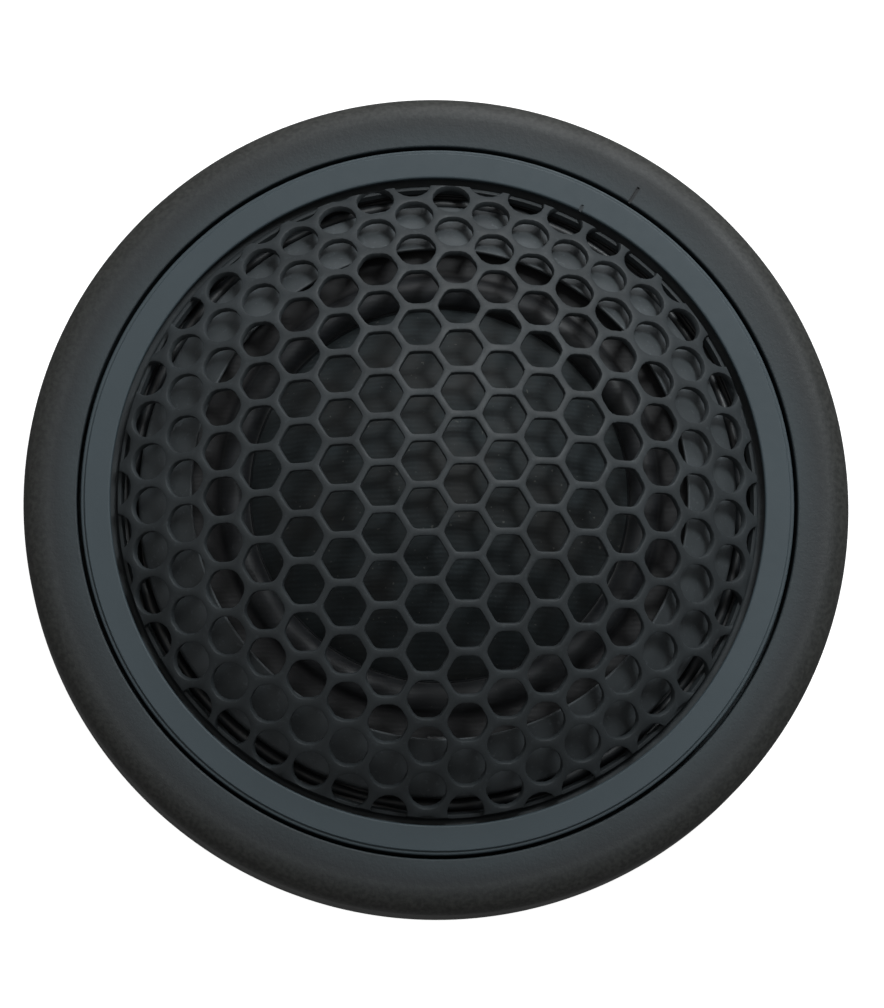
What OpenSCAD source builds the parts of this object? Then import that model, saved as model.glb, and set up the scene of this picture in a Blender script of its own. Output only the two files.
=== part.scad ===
// Flush-mount car tweeter: a soft-dome capsule that twist-locks into a panel cup.
// Millimetres. +Z points at the listener. The origin is on the axis, in the panel's front plane,
// which is the rear face of the flange.

/* [Mounting cup] */
// Outside diameter of the flange that covers the edge of the panel hole
flange_d = 56; // [55.6:0.1:60]
// Height of the flange's front face above the panel
flange_h = 5.5; // [5.4:0.1:6.5]
// Radius of the flange's rounded outer edge
flange_round = 3.1; // [1.5:0.1:3.4]
// Diameter of the barrel that goes through the panel
barrel_d = 49.6; // [49.4:0.1:50.2]
// Depth of the barrel behind the panel
barrel_depth = 13; // [12.6:0.1:18]
// Thickness of the cup's floor
floor_t = 2; // [1.2:0.1:2.4]
// Diameter of the tapped hole in the brass insert (core of an M4 thread)
thread_core_d = 3.3; // [3.2:0.05:3.4]

/* [Bezel] */
// Outside diameter of the bezel ring
bezel_d = 48.2; // [47.8:0.1:48.3]
// Diameter of the opening that shows the grille
bezel_opening_d = 44.2; // [44:0.1:44.6]
// How far the bezel stands in front of the flange
bezel_proud = 0.2; // [0:0.05:0.4]
// Gap between the bezel and the cup, seen as a fine dark line
ring_gap = 0.25; // [0.15:0.05:0.3]

/* [Grille] */
// Height of the grille's crown above the flange's front face
grille_rise = 9.2; // [8.6:0.1:10.5]
// Sheet thickness
grille_t = 0.5; // [0.4:0.05:0.7]
// Distance between the centres of neighbouring holes in the flat sheet
hole_pitch = 2.96; // [2.9:0.02:3.2]
// Width across the flats of a hole in the flat sheet
hole_across = 2.52; // [2.2:0.02:2.6]
// Share by which pressing the dome spreads the sheet at the crown
crown_spread = 0.067; // [0:0.001:0.08]
// Angle by which the columns of holes lean anticlockwise
hole_lean = 1.37; // [-5:0.01:5]

/* [Diaphragm] */
// Nominal voice-coil diameter (inside of the former)
coil_d = 25; // [24.8:0.1:25.1]
// Height of the dome above its edge
dome_rise = 5.6; // [4.5:0.1:6]
// Thickness of the coated fabric
fabric_t = 0.25; // [0.2:0.05:0.35]
// Width of the surround's half roll
roll_w = 2.16; // [1.8:0.02:2.2]

/* [Motor] */
// Outside diameter of the steel return cup
yoke_d = 30; // [29:0.1:30]
// Diameter of the neodymium disc
magnet_d = 22; // [18:0.5:23]
// Thickness of the neodymium disc
magnet_t = 3; // [2.6:0.1:3.2]
// Thickness of the pole plate
pole_t = 2; // [1.8:0.1:2.2]
// Clearance on each side of the coil in the magnetic gap
gap_clearance = 0.25; // [0.2:0.01:0.28]

/* [Twist lock] */
// Number of locking lugs
lug_count = 3; // [2:1:4]
// Angle that one lug spans
lug_span = 12; // [8:1:14]
// Turn from rest to the locked stop, clockwise from the front
lock_turn = 6.5; // [4:0.5:8]
// Turn from rest to the release slots, anticlockwise from the front
release_turn = 20; // [14:1:24]

/* [Hidden] */
$fn = 96;
e = 0.1;                                   // overrun of a cutting solid

// Cup
flange_r = flange_d / 2;
barrel_r = barrel_d / 2;
cup_bottom = -barrel_depth;
floor_top = cup_bottom + floor_t;
barrel_chamfer = 0.6;
pocket_r = bezel_d / 2 + ring_gap;
ledge_z = flange_h - 2.5;                  // ledge under the bezel
bore_r = 23;
boss_r = 5.2;
boss_top = -7;
insert_r = 3;
strap_w = 12;                              // recess across the floor for the clamp strap
strap_depth = 0.6;
insert_z = cup_bottom + strap_depth;
insert_len = min(5, boss_top - insert_z - 0.4);
slot_r_mid = 16.5;
slot_w = 6;
slot_half_angle = 25;
slot_angle = 270;
panel_gasket_in = 25.4;
panel_gasket_out = 27;
panel_gasket_t = 0.6;

// Index ticks that line up at the locked stop
tick_angle = 57.7;
tick_w = 0.18;
tick_depth = 0.12;
cup_tick_len = 1.25;
bezel_tick_len = 0.5;

// Housing
house_r = bore_r - 0.3;
house_wall = 1.5;
house_top = flange_h - 1.4;                // seat of the grille's rim
house_bottom = -5.4;
deck_top = 3.9;
deck_t = 1.5;
boss_ring_w = 2.2;
yoke_fit = 0.05;
screw_ring_r = 18.9;
screw_boss_r = 1.9;
screw_pilot_r = 0.8;
screw_angles = [90, 210, 330];
lead_ring_r = 17.87;
lead_angles = [250, 290];
lead_hole_r = 0.6;
lead_r = 0.35;

// Lugs and channel
lug_r = house_r + 0.9;
lug_z = -0.7;
lug_t = 1.6;
channel_r = lug_r + 0.3;
channel_z = lug_z - 0.2;
channel_t = lug_t + 0.4;
lug_play = 1;                              // spare angle at each end of a channel

// Bezel
bezel_r = bezel_d / 2;
opening_r = bezel_opening_d / 2;
bezel_top = flange_h + bezel_proud;
bezel_bottom = ledge_z + 0.15;
bezel_land_z = house_top + grille_t;
bezel_round = 0.3;
bezel_gasket_in = 23.2;
bezel_gasket_out = 23.8;
bezel_gasket_t = 0.5;

// Grille: a spherical cap through the opening's edge
grille_base_r = opening_r - 0.1;
grille_base_z = flange_h - 0.2;
grille_cap_h = grille_rise + 0.2;
grille_ball_r = ball_radius(grille_base_r, grille_cap_h);
grille_ball_z = flange_h + grille_rise - grille_ball_r;
grille_hole_limit = grille_base_r - 1.4;
hole_corner_r = hole_across / 2 / cos(30);
column_step = hole_pitch * sqrt(3) / 2;
lattice_shift = [1.28, 2.49];

// Front plate
plate_out_r = 20.2;
plate_in_r = 16.6;
plate_t = 0.6;
plate_rise = 3;                            // crown of the cone above the flange's front face
plate_edge_z = flange_h - 0.2;

// Motor
pole_top = 5.6;
pole_z = pole_top - pole_t;
magnet_z = pole_z - magnet_t;
yoke_floor_t = 2.5;
yoke_z = magnet_z - yoke_floor_t;
yoke_r = yoke_d / 2;
former_in_r = coil_d / 2;
former_t = 0.1;
former_out_r = former_in_r + former_t;
coil_t = 0.3;
coil_out_r = former_out_r + coil_t;
yoke_bore_r = coil_out_r + gap_clearance;
pole_r = former_in_r - gap_clearance;
felt_r = 11;
felt_t = 0.8;
pad_r = 12;

// Diaphragm
dome_edge_z = 7.2;
former_z = 3.2;
coil_z = 3.4;
coil_h = 2.5;
dome_edge_r = former_out_r + 0.1;
dome_ball_r = ball_radius(dome_edge_r, dome_rise);
dome_ball_z = dome_edge_z + dome_rise - dome_ball_r;
glue_gap = 0.03;

// Carrier and surround
carrier_in_r = yoke_bore_r + 0.2;
carrier_out_r = 17.2;
carrier_t = 1.5;
carrier_top = pole_top + carrier_t;
roll_in_r = dome_edge_r + 0.05;
roll_r = roll_w / 2;
roll_mid_r = roll_in_r + roll_r;
surround_z = carrier_top + glue_gap;
surround_out_r = 16.8;
tag_w = 2.4;
tag_t = 0.25;
tag_z = 5.8;
tag_h = 1;

// Rear cover and terminals
cover_t = 1.4;
cover_r = house_r - house_wall - 0.1;
cover_top = house_bottom + cover_t;
board_t = 0.8;
board_size = [15, 9.8];
board_y = -13.5;
board_z = house_bottom - board_t;
blade_t = 0.5;
blade_y = -12.5;
blade_root_x = 4.6;
blade_tip_x = 14.3;
blade_tip_chamfer = 0.8;
blade_eye_x = 12.2;
wide_blade = 4.8;
narrow_blade = 2.8;
tail_w = 3;
tail_end_y = -18;
rivet_x = 6.1;
rivet_r = 0.75;
rivet_head_r = 1.4;
rivet_head_t = 0.4;
blob_r = 0.8;
blob_t = 0.35;

function ball_radius(edge_r, rise) = (edge_r * edge_r + rise * rise) / (2 * rise);

// Where a point of the flat sheet goes when the dome is pressed: the crown spreads, the rim stays
function pressed(flat) =
    flat * (1 + crown_spread * (1 - norm(flat) * norm(flat) / (opening_r * opening_r)));

// ---- Shared shapes ----

// Ring between two radii, standing on z
module ring(r_in, r_out, z, h) {
    rotate_extrude()
        translate([r_in, z])
            square([r_out - r_in, h]);
}

// Part of a ring that spans an angle, centred on mid_angle
module ring_arc(r_in, r_out, z, h, mid_angle, span) {
    rotate([0, 0, mid_angle - span / 2])
        rotate_extrude(angle = span)
            translate([r_in, z])
                square([r_out - r_in, h]);
}

// Upright disc standing on z
module disc(r, z, h) {
    translate([0, 0, z])
        cylinder(r = r, h = h);
}

// Children at a radius and an angle round the axis
module at(radius, angle) {
    rotate([0, 0, angle])
        translate([radius, 0, 0])
            children();
}

// Cap of a thin ball above a plane
module ball_cap(ball_r, ball_z, wall, plane_z) {
    intersection() {
        translate([0, 0, ball_z])
            difference() {
                sphere(r = ball_r);
                sphere(r = ball_r - wall);
            }
        translate([0, 0, plane_z])
            cylinder(r = ball_r, h = ball_r);
    }
}

// ---- Mounting cup ----

module cup_outline() {
    square_r = flange_r - flange_round;
    // Flange with its rounded edge
    square([square_r, flange_h]);
    square([flange_r, flange_h - flange_round]);
    intersection() {
        translate([square_r, flange_h - flange_round])
            circle(r = flange_round);
        translate([square_r - e, 0])
            square([flange_round + 2 * e, flange_h]);
    }
    // Barrel with a lead-in chamfer
    polygon([
        [0, cup_bottom],
        [barrel_r - barrel_chamfer, cup_bottom],
        [barrel_r, cup_bottom + barrel_chamfer],
        [barrel_r, e],
        [0, e]
    ]);
}

module cup_hollow_outline() {
    translate([0, floor_top])
        square([bore_r, ledge_z - floor_top + e]);
    translate([0, ledge_z])
        square([pocket_r, flange_h - ledge_z + e]);
}

// Channel that one lug turns in, with the slot that lets it in from the front
module lug_channel(angle) {
    whole_turn = lock_turn + release_turn;
    mid = angle + (release_turn - lock_turn) / 2;
    ring_arc(bore_r - e, channel_r, channel_z, channel_t, mid, whole_turn + lug_span + 2 * lug_play);
    slot_z = channel_z + channel_t / 2;
    ring_arc(bore_r - 2 * e, channel_r + e / 2, slot_z, ledge_z - slot_z + e,
             angle + release_turn, lug_span + 2 * lug_play - 1);
}

// Kidney slot for the two cables
module cable_slot() {
    in_r = slot_r_mid - slot_w / 2;
    out_r = slot_r_mid + slot_w / 2;
    depth = floor_t + 2 * e;
    ring_arc(in_r, out_r, cup_bottom - e, depth, slot_angle, 2 * slot_half_angle);
    for (side = [-1, 1])
        at(slot_r_mid, slot_angle + side * slot_half_angle)
            disc(slot_w / 2, cup_bottom - e, depth);
}

module mounting_cup() color([0.23, 0.24, 0.25]) {
    difference() {
        union() {
            difference() {
                rotate_extrude() cup_outline();
                rotate_extrude() cup_hollow_outline();
            }
            disc(boss_r, floor_top - e, boss_top - floor_top + e);
        }
        disc(insert_r, insert_z - e, insert_len + e);
        translate([-flange_r, -strap_w / 2, cup_bottom - e])
            cube([flange_d, strap_w, strap_depth + e]);
        cable_slot();
        for (i = [0 : lug_count - 1])
            lug_channel(lug_angle(i));
        ring(panel_gasket_in, panel_gasket_out, -e, panel_gasket_t + e);
        rotate([0, 0, tick_angle])
            translate([pocket_r - e, -tick_w / 2, flange_h - tick_depth])
                cube([cup_tick_len + e, tick_w, 1]);
    }
}

module thread_insert() color([0.78, 0.62, 0.3]) {
    difference() {
        disc(insert_r, insert_z, insert_len);
        disc(thread_core_d / 2, insert_z - e, insert_len + 2 * e);
    }
}

module panel_gasket() color([0.1, 0.1, 0.1])
    ring(panel_gasket_in, panel_gasket_out, 0, panel_gasket_t);

// ---- Capsule ----

function lug_angle(i) = 90 + i * 360 / lug_count;

module capsule_housing() color([0.12, 0.12, 0.13]) {
    yoke_seat_r = yoke_r + yoke_fit;
    difference() {
        union() {
            ring(house_r - house_wall, house_r, house_bottom, house_top - house_bottom);
            ring(yoke_seat_r, house_r - e, deck_top - deck_t, deck_t);
            ring(yoke_seat_r, yoke_seat_r + boss_ring_w, yoke_z, pole_top - yoke_z);
            for (angle = screw_angles)
                at(screw_ring_r, angle)
                    disc(screw_boss_r, cover_top, deck_top - e - cover_top);
            for (i = [0 : lug_count - 1])
                ring_arc(house_r - e, lug_r, lug_z, lug_t, lug_angle(i), lug_span);
        }
        for (angle = screw_angles)
            at(screw_ring_r, angle)
                disc(screw_pilot_r, cover_top - e, 5);
        for (angle = lead_angles)
            at(lead_ring_r, angle)
                disc(lead_hole_r, cover_top, pole_top - cover_top + e);
    }
}

module bezel_ring() color([0.33, 0.36, 0.39]) {
    difference() {
        rotate_extrude() {
            difference() {
                union() {
                    polygon([
                        [opening_r, bezel_top - e],
                        [opening_r, bezel_land_z + 0.65],
                        [opening_r + 0.65, bezel_land_z],
                        [opening_r + 0.65, bezel_bottom],
                        [bezel_r, bezel_bottom],
                        [bezel_r, bezel_top - bezel_round],
                        [bezel_r - bezel_round, bezel_top - bezel_round],
                        [bezel_r - bezel_round, bezel_top - e]
                    ]);
                    translate([opening_r, bezel_top - bezel_round])
                        square([bezel_r - bezel_round - opening_r, bezel_round]);
                    intersection() {
                        translate([bezel_r - bezel_round, bezel_top - bezel_round])
                            circle(r = bezel_round);
                        translate([bezel_r - bezel_round - e, bezel_top - bezel_round - e])
                            square([bezel_round + 2 * e, bezel_round + 2 * e]);
                    }
                }
                translate([bezel_gasket_in, bezel_bottom - e])
                    square([bezel_gasket_out - bezel_gasket_in, bezel_gasket_t + e]);
            }
        }
        rotate([0, 0, tick_angle + lock_turn])
            translate([opening_r - e, -tick_w / 2, bezel_top - tick_depth])
                cube([bezel_tick_len + e, tick_w, 1]);
    }
}

module bezel_gasket() color([0.08, 0.08, 0.08])
    ring(bezel_gasket_in, bezel_gasket_out, bezel_bottom - 0.08, bezel_gasket_t + 0.08);

// Hexagonal holes punched in staggered columns, then spread as the dome is pressed
module grille_holes() {
    columns = ceil(grille_base_r / column_step) + 1;
    rows = ceil(grille_base_r / hole_pitch) + 1;
    rotate([0, 0, hole_lean])
        for (c = [-columns : columns], k = [-rows : rows]) {
            centre = lattice_shift + [c * column_step, (k + (c % 2 == 0 ? 0 : 0.5)) * hole_pitch];
            if (norm(pressed(centre)) < grille_hole_limit)
                translate([0, 0, grille_base_z - 1])
                    linear_extrude(grille_cap_h + 2)
                        polygon([
                            for (corner = [0 : 60 : 300])
                                pressed(centre + hole_corner_r * [cos(corner), sin(corner)])
                        ]);
        }
}

module grille() color([0.27, 0.28, 0.29]) {
    difference() {
        ball_cap(grille_ball_r, grille_ball_z, grille_t, bezel_land_z);
        grille_holes();
    }
    ring(grille_base_r - 0.3, house_r, house_top, grille_t);
}

module front_plate() color([0.25, 0.26, 0.27]) {
    crown_z = flange_h + plate_rise;
    rotate_extrude()
        polygon([
            [plate_out_r - plate_t, deck_top],
            [plate_out_r, deck_top],
            [plate_out_r, plate_edge_z],
            [plate_in_r, crown_z],
            [plate_in_r, crown_z - plate_t],
            [plate_out_r - plate_t, plate_edge_z - 0.1]
        ]);
}

module carrier_ring() color([0.15, 0.15, 0.15])
    ring(carrier_in_r, carrier_out_r, pole_top, carrier_t);

module solder_tags() color([0.72, 0.45, 0.2])
    for (angle = lead_angles)
        rotate([0, 0, angle])
            translate([carrier_out_r, -tag_w / 2, tag_z])
                cube([tag_t, tag_w, tag_h]);

module yoke_cup() color([0.62, 0.64, 0.66]) {
    difference() {
        disc(yoke_r, yoke_z, pole_top - yoke_z);
        disc(yoke_bore_r, magnet_z, pole_top - magnet_z + e);
    }
}

module magnet() color([0.75, 0.76, 0.78])
    disc(magnet_d / 2, magnet_z, magnet_t);

module pole_plate() color([0.62, 0.64, 0.66])
    disc(pole_r, pole_z, pole_t);

module damping_felt() color([0.2, 0.2, 0.21])
    disc(felt_r, pole_top, felt_t);

module rear_pad() color([0.16, 0.16, 0.17])
    disc(pad_r, cover_top, yoke_z - cover_top);

module countersunk(angle) {
    at(screw_ring_r, angle) {
        disc(0.75, house_bottom + 1, 5);
        translate([0, 0, house_bottom])
            cylinder(r1 = 1.9, r2 = 0.75, h = 1.15);
    }
}

module rear_cover() color([0.13, 0.13, 0.14]) {
    difference() {
        disc(cover_r, house_bottom, cover_t);
        for (angle = screw_angles)
            at(screw_ring_r, angle) {
                disc(1, house_bottom - e, cover_t + 2 * e);
                translate([0, 0, house_bottom - e])
                    cylinder(r1 = 2.1, r2 = 0.8, h = 1.3);
            }
        for (angle = lead_angles)
            at(lead_ring_r, angle)
                disc(lead_hole_r, house_bottom - e, cover_t + 2 * e);
        for (side = [-1, 1])
            translate([side * rivet_x, blade_y, 0])
                disc(rivet_r, house_bottom - e, cover_t + 2 * e);
    }
}

module cover_screws() color([0.55, 0.56, 0.57])
    for (angle = screw_angles)
        difference() {
            countersunk(angle);
            at(screw_ring_r, angle)
                for (turn = [0, 90])
                    rotate([0, 0, turn])
                        translate([-1, -0.18, house_bottom - e])
                            cube([2, 0.36, 0.6]);
        }

module terminal_board() color([0.36, 0.22, 0.12]) {
    difference() {
        translate([-board_size[0] / 2, board_y - board_size[1] / 2, board_z])
            cube([board_size[0], board_size[1], board_t]);
        for (angle = lead_angles)
            at(lead_ring_r, angle)
                disc(lead_hole_r, board_z - e, board_t + 2 * e);
        for (side = [-1, 1])
            translate([side * rivet_x, blade_y, 0])
                disc(rivet_r, board_z - e, board_t + 2 * e);
    }
}

// Flat blade with a chamfered tip, a detent eye and a tail that meets the wire
module terminal(width) {
    half = width / 2;
    inner_tip_x = blade_tip_x - blade_tip_chamfer;
    difference() {
        translate([0, 0, board_z - blade_t])
            linear_extrude(blade_t)
                union() {
                    polygon([
                        [blade_root_x, blade_y - half],
                        [inner_tip_x, blade_y - half],
                        [blade_tip_x, blade_y - half + blade_tip_chamfer],
                        [blade_tip_x, blade_y + half - blade_tip_chamfer],
                        [inner_tip_x, blade_y + half],
                        [blade_root_x, blade_y + half]
                    ]);
                    translate([rivet_x - tail_w / 2, tail_end_y])
                        square([tail_w, blade_y - tail_end_y]);
                }
        translate([blade_eye_x, blade_y, 0])
            disc(0.6, board_z - 1, 1 + e);
        translate([rivet_x, blade_y, 0])
            disc(rivet_r, board_z - 1, 1 + e);
        at(lead_ring_r, lead_angles[1])
            disc(lead_hole_r, board_z - 1, 1 + e);
    }
}

module terminal_positive() color([0.8, 0.78, 0.7])
    mirror([1, 0, 0])
        terminal(wide_blade);

module terminal_negative() color([0.8, 0.78, 0.7])
    terminal(narrow_blade);

module terminal_rivets() color([0.78, 0.62, 0.3])
    for (side = [-1, 1])
        translate([side * rivet_x, blade_y, 0]) {
            rivet_z = board_z - blade_t;
            disc(rivet_head_r, rivet_z - rivet_head_t, rivet_head_t);
            disc(rivet_r, rivet_z - e, cover_top - rivet_z + e);
        }

// One wire: up from the blade through the housing, then bent in to its solder tag
module lead_wire(angle) {
    bend_r = lead_ring_r - carrier_out_r - tag_t;
    bend_z = tag_z + tag_h / 2 - bend_r;
    tail_z = board_z - blade_t;
    at(lead_ring_r, angle)
        disc(lead_r, tail_z, bend_z - tail_z);
    at(lead_ring_r, angle)
        disc(blob_r, tail_z - blob_t, blob_t);
    rotate([0, 0, angle])
        translate([lead_ring_r - bend_r, 0, bend_z])
            rotate([90, 0, 0])
                rotate_extrude(angle = 90)
                    translate([bend_r, 0])
                        circle(r = lead_r, $fn = 24);
}

module lead_wires() color([0.7, 0.2, 0.15])
    for (angle = lead_angles)
        lead_wire(angle);

// ---- Diaphragm ----

module dome() color([0.2, 0.21, 0.22])
    ball_cap(dome_ball_r, dome_ball_z, fabric_t, dome_edge_z);

module surround() color([0.17, 0.18, 0.19]) {
    rotate_extrude() {
        intersection() {
            translate([roll_mid_r, surround_z])
                difference() {
                    circle(r = roll_r, $fn = 48);
                    circle(r = roll_r - fabric_t, $fn = 48);
                }
            translate([roll_in_r - e, surround_z])
                square([roll_w + 2 * e, roll_r + e]);
        }
        translate([roll_in_r + roll_w - fabric_t, surround_z])
            square([surround_out_r - roll_in_r - roll_w + fabric_t, fabric_t]);
    }
}

module coil_former() color([0.72, 0.55, 0.25])
    ring(former_in_r, former_out_r, former_z, dome_edge_z - former_z);

module voice_coil() color([0.7, 0.4, 0.2])
    ring(former_out_r, coil_out_r, coil_z, coil_h);

mounting_cup();
thread_insert();
panel_gasket();
capsule_housing();
bezel_ring();
bezel_gasket();
grille();
front_plate();
carrier_ring();
solder_tags();
yoke_cup();
magnet();
pole_plate();
damping_felt();
rear_pad();
rear_cover();
cover_screws();
terminal_board();
terminal_positive();
terminal_negative();
terminal_rivets();
lead_wires();
dome();
surround();
coil_former();
voice_coil();
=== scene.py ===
"""Looks of a flush-mount car tweeter: a soft-dome capsule that twist-locks into a panel cup.

Sizes in the classes are millimetres and degrees. Heights are measured from the panel's front
plane and +Z points at the listener. Meshes are built in metres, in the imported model's frame.
"""

import logging
import math
from contextlib import contextmanager
from dataclasses import dataclass
from enum import Enum
from typing import Callable, Iterator, Sequence

import bmesh
import bpy
import numpy as np
from mathutils import Matrix, Vector


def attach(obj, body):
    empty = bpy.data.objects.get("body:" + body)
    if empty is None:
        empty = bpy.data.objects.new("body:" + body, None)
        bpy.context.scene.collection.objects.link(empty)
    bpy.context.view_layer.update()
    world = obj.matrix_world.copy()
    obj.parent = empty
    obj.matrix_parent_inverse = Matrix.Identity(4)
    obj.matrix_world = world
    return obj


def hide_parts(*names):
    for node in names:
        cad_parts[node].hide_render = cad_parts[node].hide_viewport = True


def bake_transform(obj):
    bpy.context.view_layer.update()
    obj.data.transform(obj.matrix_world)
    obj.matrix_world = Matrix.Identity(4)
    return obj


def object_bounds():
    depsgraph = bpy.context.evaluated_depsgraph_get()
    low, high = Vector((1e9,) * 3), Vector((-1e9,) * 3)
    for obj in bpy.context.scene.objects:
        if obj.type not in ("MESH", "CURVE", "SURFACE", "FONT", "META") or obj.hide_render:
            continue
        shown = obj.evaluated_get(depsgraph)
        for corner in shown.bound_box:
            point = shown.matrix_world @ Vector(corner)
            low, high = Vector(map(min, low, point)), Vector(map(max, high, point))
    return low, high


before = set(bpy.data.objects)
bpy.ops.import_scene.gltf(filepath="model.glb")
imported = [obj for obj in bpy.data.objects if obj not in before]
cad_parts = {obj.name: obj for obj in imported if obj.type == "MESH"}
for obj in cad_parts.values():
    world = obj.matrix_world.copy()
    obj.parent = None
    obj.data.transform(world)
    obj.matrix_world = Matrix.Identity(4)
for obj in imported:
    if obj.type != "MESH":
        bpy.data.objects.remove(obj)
cad_low, cad_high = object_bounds()

MM = 0.001
WELD = 1e-6                      # distance under which two vertices are one, in metres
RING_STEPS = 192                 # steps round a large ring
SMALL_STEPS = 64                 # steps round a small turned part
SMOOTH_ANGLE = math.radians(30)

log = logging.getLogger("tweeter")

Point = tuple[float, float]
Colour = tuple[float, float, float]


class Body(str, Enum):
    """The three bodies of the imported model."""

    CUP = "cup"
    CAPSULE = "capsule"
    DIAPHRAGM = "diaphragm"


class Fit(Enum):
    """How a tool solid acts on a piece."""

    CUT = "DIFFERENCE"
    ADD = "UNION"
    KEEP = "INTERSECT"


# ---- Workshop: outlines, turned parts, tools ----


@dataclass(frozen=True)
class Corner:
    """A corner of an outline: distance from the axis, height, and the radius that rounds it."""

    r: float
    z: float
    round: float = 0.0


def rounded(corners: Sequence[Corner], closed: bool, support: float = 0.06) -> list[Point]:
    """Round the corners of an outline.

    Args:
        corners: The corners in order.
        closed: True where the last corner joins the first.
        support: Distance from a fillet's end to the extra point that keeps the flat beside it flat.

    Returns:
        The points of the rounded outline.
    """
    points: list[Point] = []
    count = len(corners)
    for i, corner in enumerate(corners):
        here = Vector((corner.r, corner.z))
        if corner.round <= 0 or (not closed and i in (0, count - 1)):
            points.append((here.x, here.y))
            continue
        before, after = corners[i - 1], corners[(i + 1) % count]
        back = Vector((before.r, before.z)) - here
        ahead = Vector((after.r, after.z)) - here
        half = back.angle(ahead) / 2
        tangent = min(corner.round / math.tan(half), 0.47 * back.length, 0.47 * ahead.length)
        radius = tangent * math.tan(half)
        back_dir, ahead_dir = back.normalized(), ahead.normalized()
        centre = here + (back_dir + ahead_dir).normalized() * (radius / math.sin(half))
        first, last = here + back_dir * tangent, here + ahead_dir * tangent
        extra = min(support, 0.3 * tangent + 0.01)
        points.append(tuple(first + back_dir * extra * (tangent < 0.45 * back.length)))
        turn = math.pi - 2 * half
        steps = max(2, math.ceil(turn / math.radians(18 if radius < 1 else 7.5)))
        start, end = first - centre, last - centre
        sweep = math.atan2(start.x * end.y - start.y * end.x, start.dot(end))
        for k in range(steps + 1):
            a = sweep * k / steps
            arm = Vector((
                start.x * math.cos(a) - start.y * math.sin(a),
                start.x * math.sin(a) + start.y * math.cos(a),
            ))
            points.append(tuple(centre + arm))
        points.append(tuple(last + ahead_dir * extra * (tangent < 0.45 * ahead.length)))
    kept = [points[0]]
    for point in points[1:]:
        if math.dist(point, kept[-1]) > 0.004:
            kept.append(point)
    return kept


def arc(centre: Point, radius: float, start: float, end: float, steps: int) -> list[Point]:
    """Points along an arc.

    Args:
        centre: Centre of the arc, as distance from the axis and height.
        radius: Radius of the arc.
        start: First angle in degrees.
        end: Last angle in degrees.
        steps: Number of steps.

    Returns:
        The points, both ends included.
    """
    angles = (math.radians(start + (end - start) * k / steps) for k in range(steps + 1))
    return [(centre[0] + radius * math.cos(a), centre[1] + radius * math.sin(a)) for a in angles]


def deselect_all() -> None:
    """Leave edit mode and select nothing."""
    if bpy.context.mode != "OBJECT":
        bpy.ops.object.mode_set(mode="OBJECT")
    bpy.ops.object.select_all(action="DESELECT")


def make_active(piece: bpy.types.Object) -> None:
    """Select one piece alone and make it the active one."""
    deselect_all()
    piece.select_set(True)
    bpy.context.view_layer.objects.active = piece


@contextmanager
def editing(piece: bpy.types.Object, mode: str = "VERT") -> Iterator[None]:
    """Open a piece in edit mode with nothing selected, and close it afterwards."""
    make_active(piece)
    bpy.ops.object.mode_set(mode="EDIT")
    bpy.ops.mesh.select_mode(type=mode)
    bpy.ops.mesh.select_all(action="DESELECT")
    yield
    bpy.ops.object.mode_set(mode="OBJECT")


def pick_faces(piece: bpy.types.Object, wanted: Callable[[Vector, Vector], bool]) -> int:
    """Select faces of the piece that is open for editing.

    Args:
        piece: The piece.
        wanted: Test of a face's centre in millimetres and its normal.

    Returns:
        The number of faces selected.
    """
    mesh = bmesh.from_edit_mesh(piece.data)
    for face in mesh.faces:
        face.select_set(wanted(face.calc_center_median() / MM, face.normal))
    bmesh.update_edit_mesh(piece.data)
    return sum(face.select for face in mesh.faces)


def name_piece(piece: bpy.types.Object, name: str) -> bpy.types.Object:
    """Name a piece and its mesh alike."""
    piece.name = name
    piece.data.name = name
    return piece


def settle(piece: bpy.types.Object) -> bpy.types.Object:
    """Put a piece's place, turn and scale into its mesh."""
    make_active(piece)
    bpy.ops.object.transform_apply(location=True, rotation=True, scale=True)
    return piece


def turned(
    name: str, outline: Sequence[Point], closed: bool = True, steps: int = RING_STEPS,
    angle: float = 360.0,
) -> bpy.types.Object:
    """Turn an outline round the axis.

    Args:
        name: Name of the new piece.
        outline: Points as distance from the axis and height.
        closed: True where the last point joins the first; False where both ends are on the axis.
        steps: Steps of the turn.
        angle: Angle of the turn in degrees, anticlockwise from the X axis as seen from the front.

    Returns:
        The turned piece, closed and with its faces outwards.
    """
    deselect_all()
    r, z = outline[0]
    bpy.ops.mesh.primitive_plane_add(size=0.1 * MM, location=(r * MM, 0, z * MM))
    piece = name_piece(bpy.context.active_object, name)
    settle(piece)
    path = list(outline) + ([outline[0]] if closed else [])
    with editing(piece):
        bpy.ops.mesh.select_all(action="SELECT")
        bpy.ops.mesh.merge(type="CENTER")
        for (r0, z0), (r1, z1) in zip(path, path[1:]):
            bpy.ops.mesh.extrude_region_move(
                TRANSFORM_OT_translate={"value": ((r1 - r0) * MM, 0, (z1 - z0) * MM)}
            )
        bpy.ops.mesh.select_all(action="SELECT")
        bpy.ops.mesh.remove_doubles(threshold=WELD)
        whole = angle >= 360
        bpy.ops.mesh.spin(
            steps=steps, angle=math.radians(angle), use_auto_merge=whole,
            center=(0, 0, 0), axis=(0, 0, -1),  # spin turns clockwise about its axis
        )
        bpy.ops.mesh.select_all(action="SELECT")
        bpy.ops.mesh.remove_doubles(threshold=WELD)
        if not whole:
            bpy.ops.mesh.select_all(action="DESELECT")
            bpy.ops.mesh.select_non_manifold()
            bpy.ops.mesh.edge_face_add()
            bpy.ops.mesh.fill_holes(sides=0)
            bpy.ops.mesh.select_all(action="SELECT")
        bpy.ops.mesh.normals_make_consistent(inside=False)
    return piece


def box(r0: float, r1: float, z0: float, z1: float) -> list[Corner]:
    """Corners of a plain ring's section between two radii and two heights."""
    return [Corner(r0, z0), Corner(r0, z1), Corner(r1, z1), Corner(r1, z0)]


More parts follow.
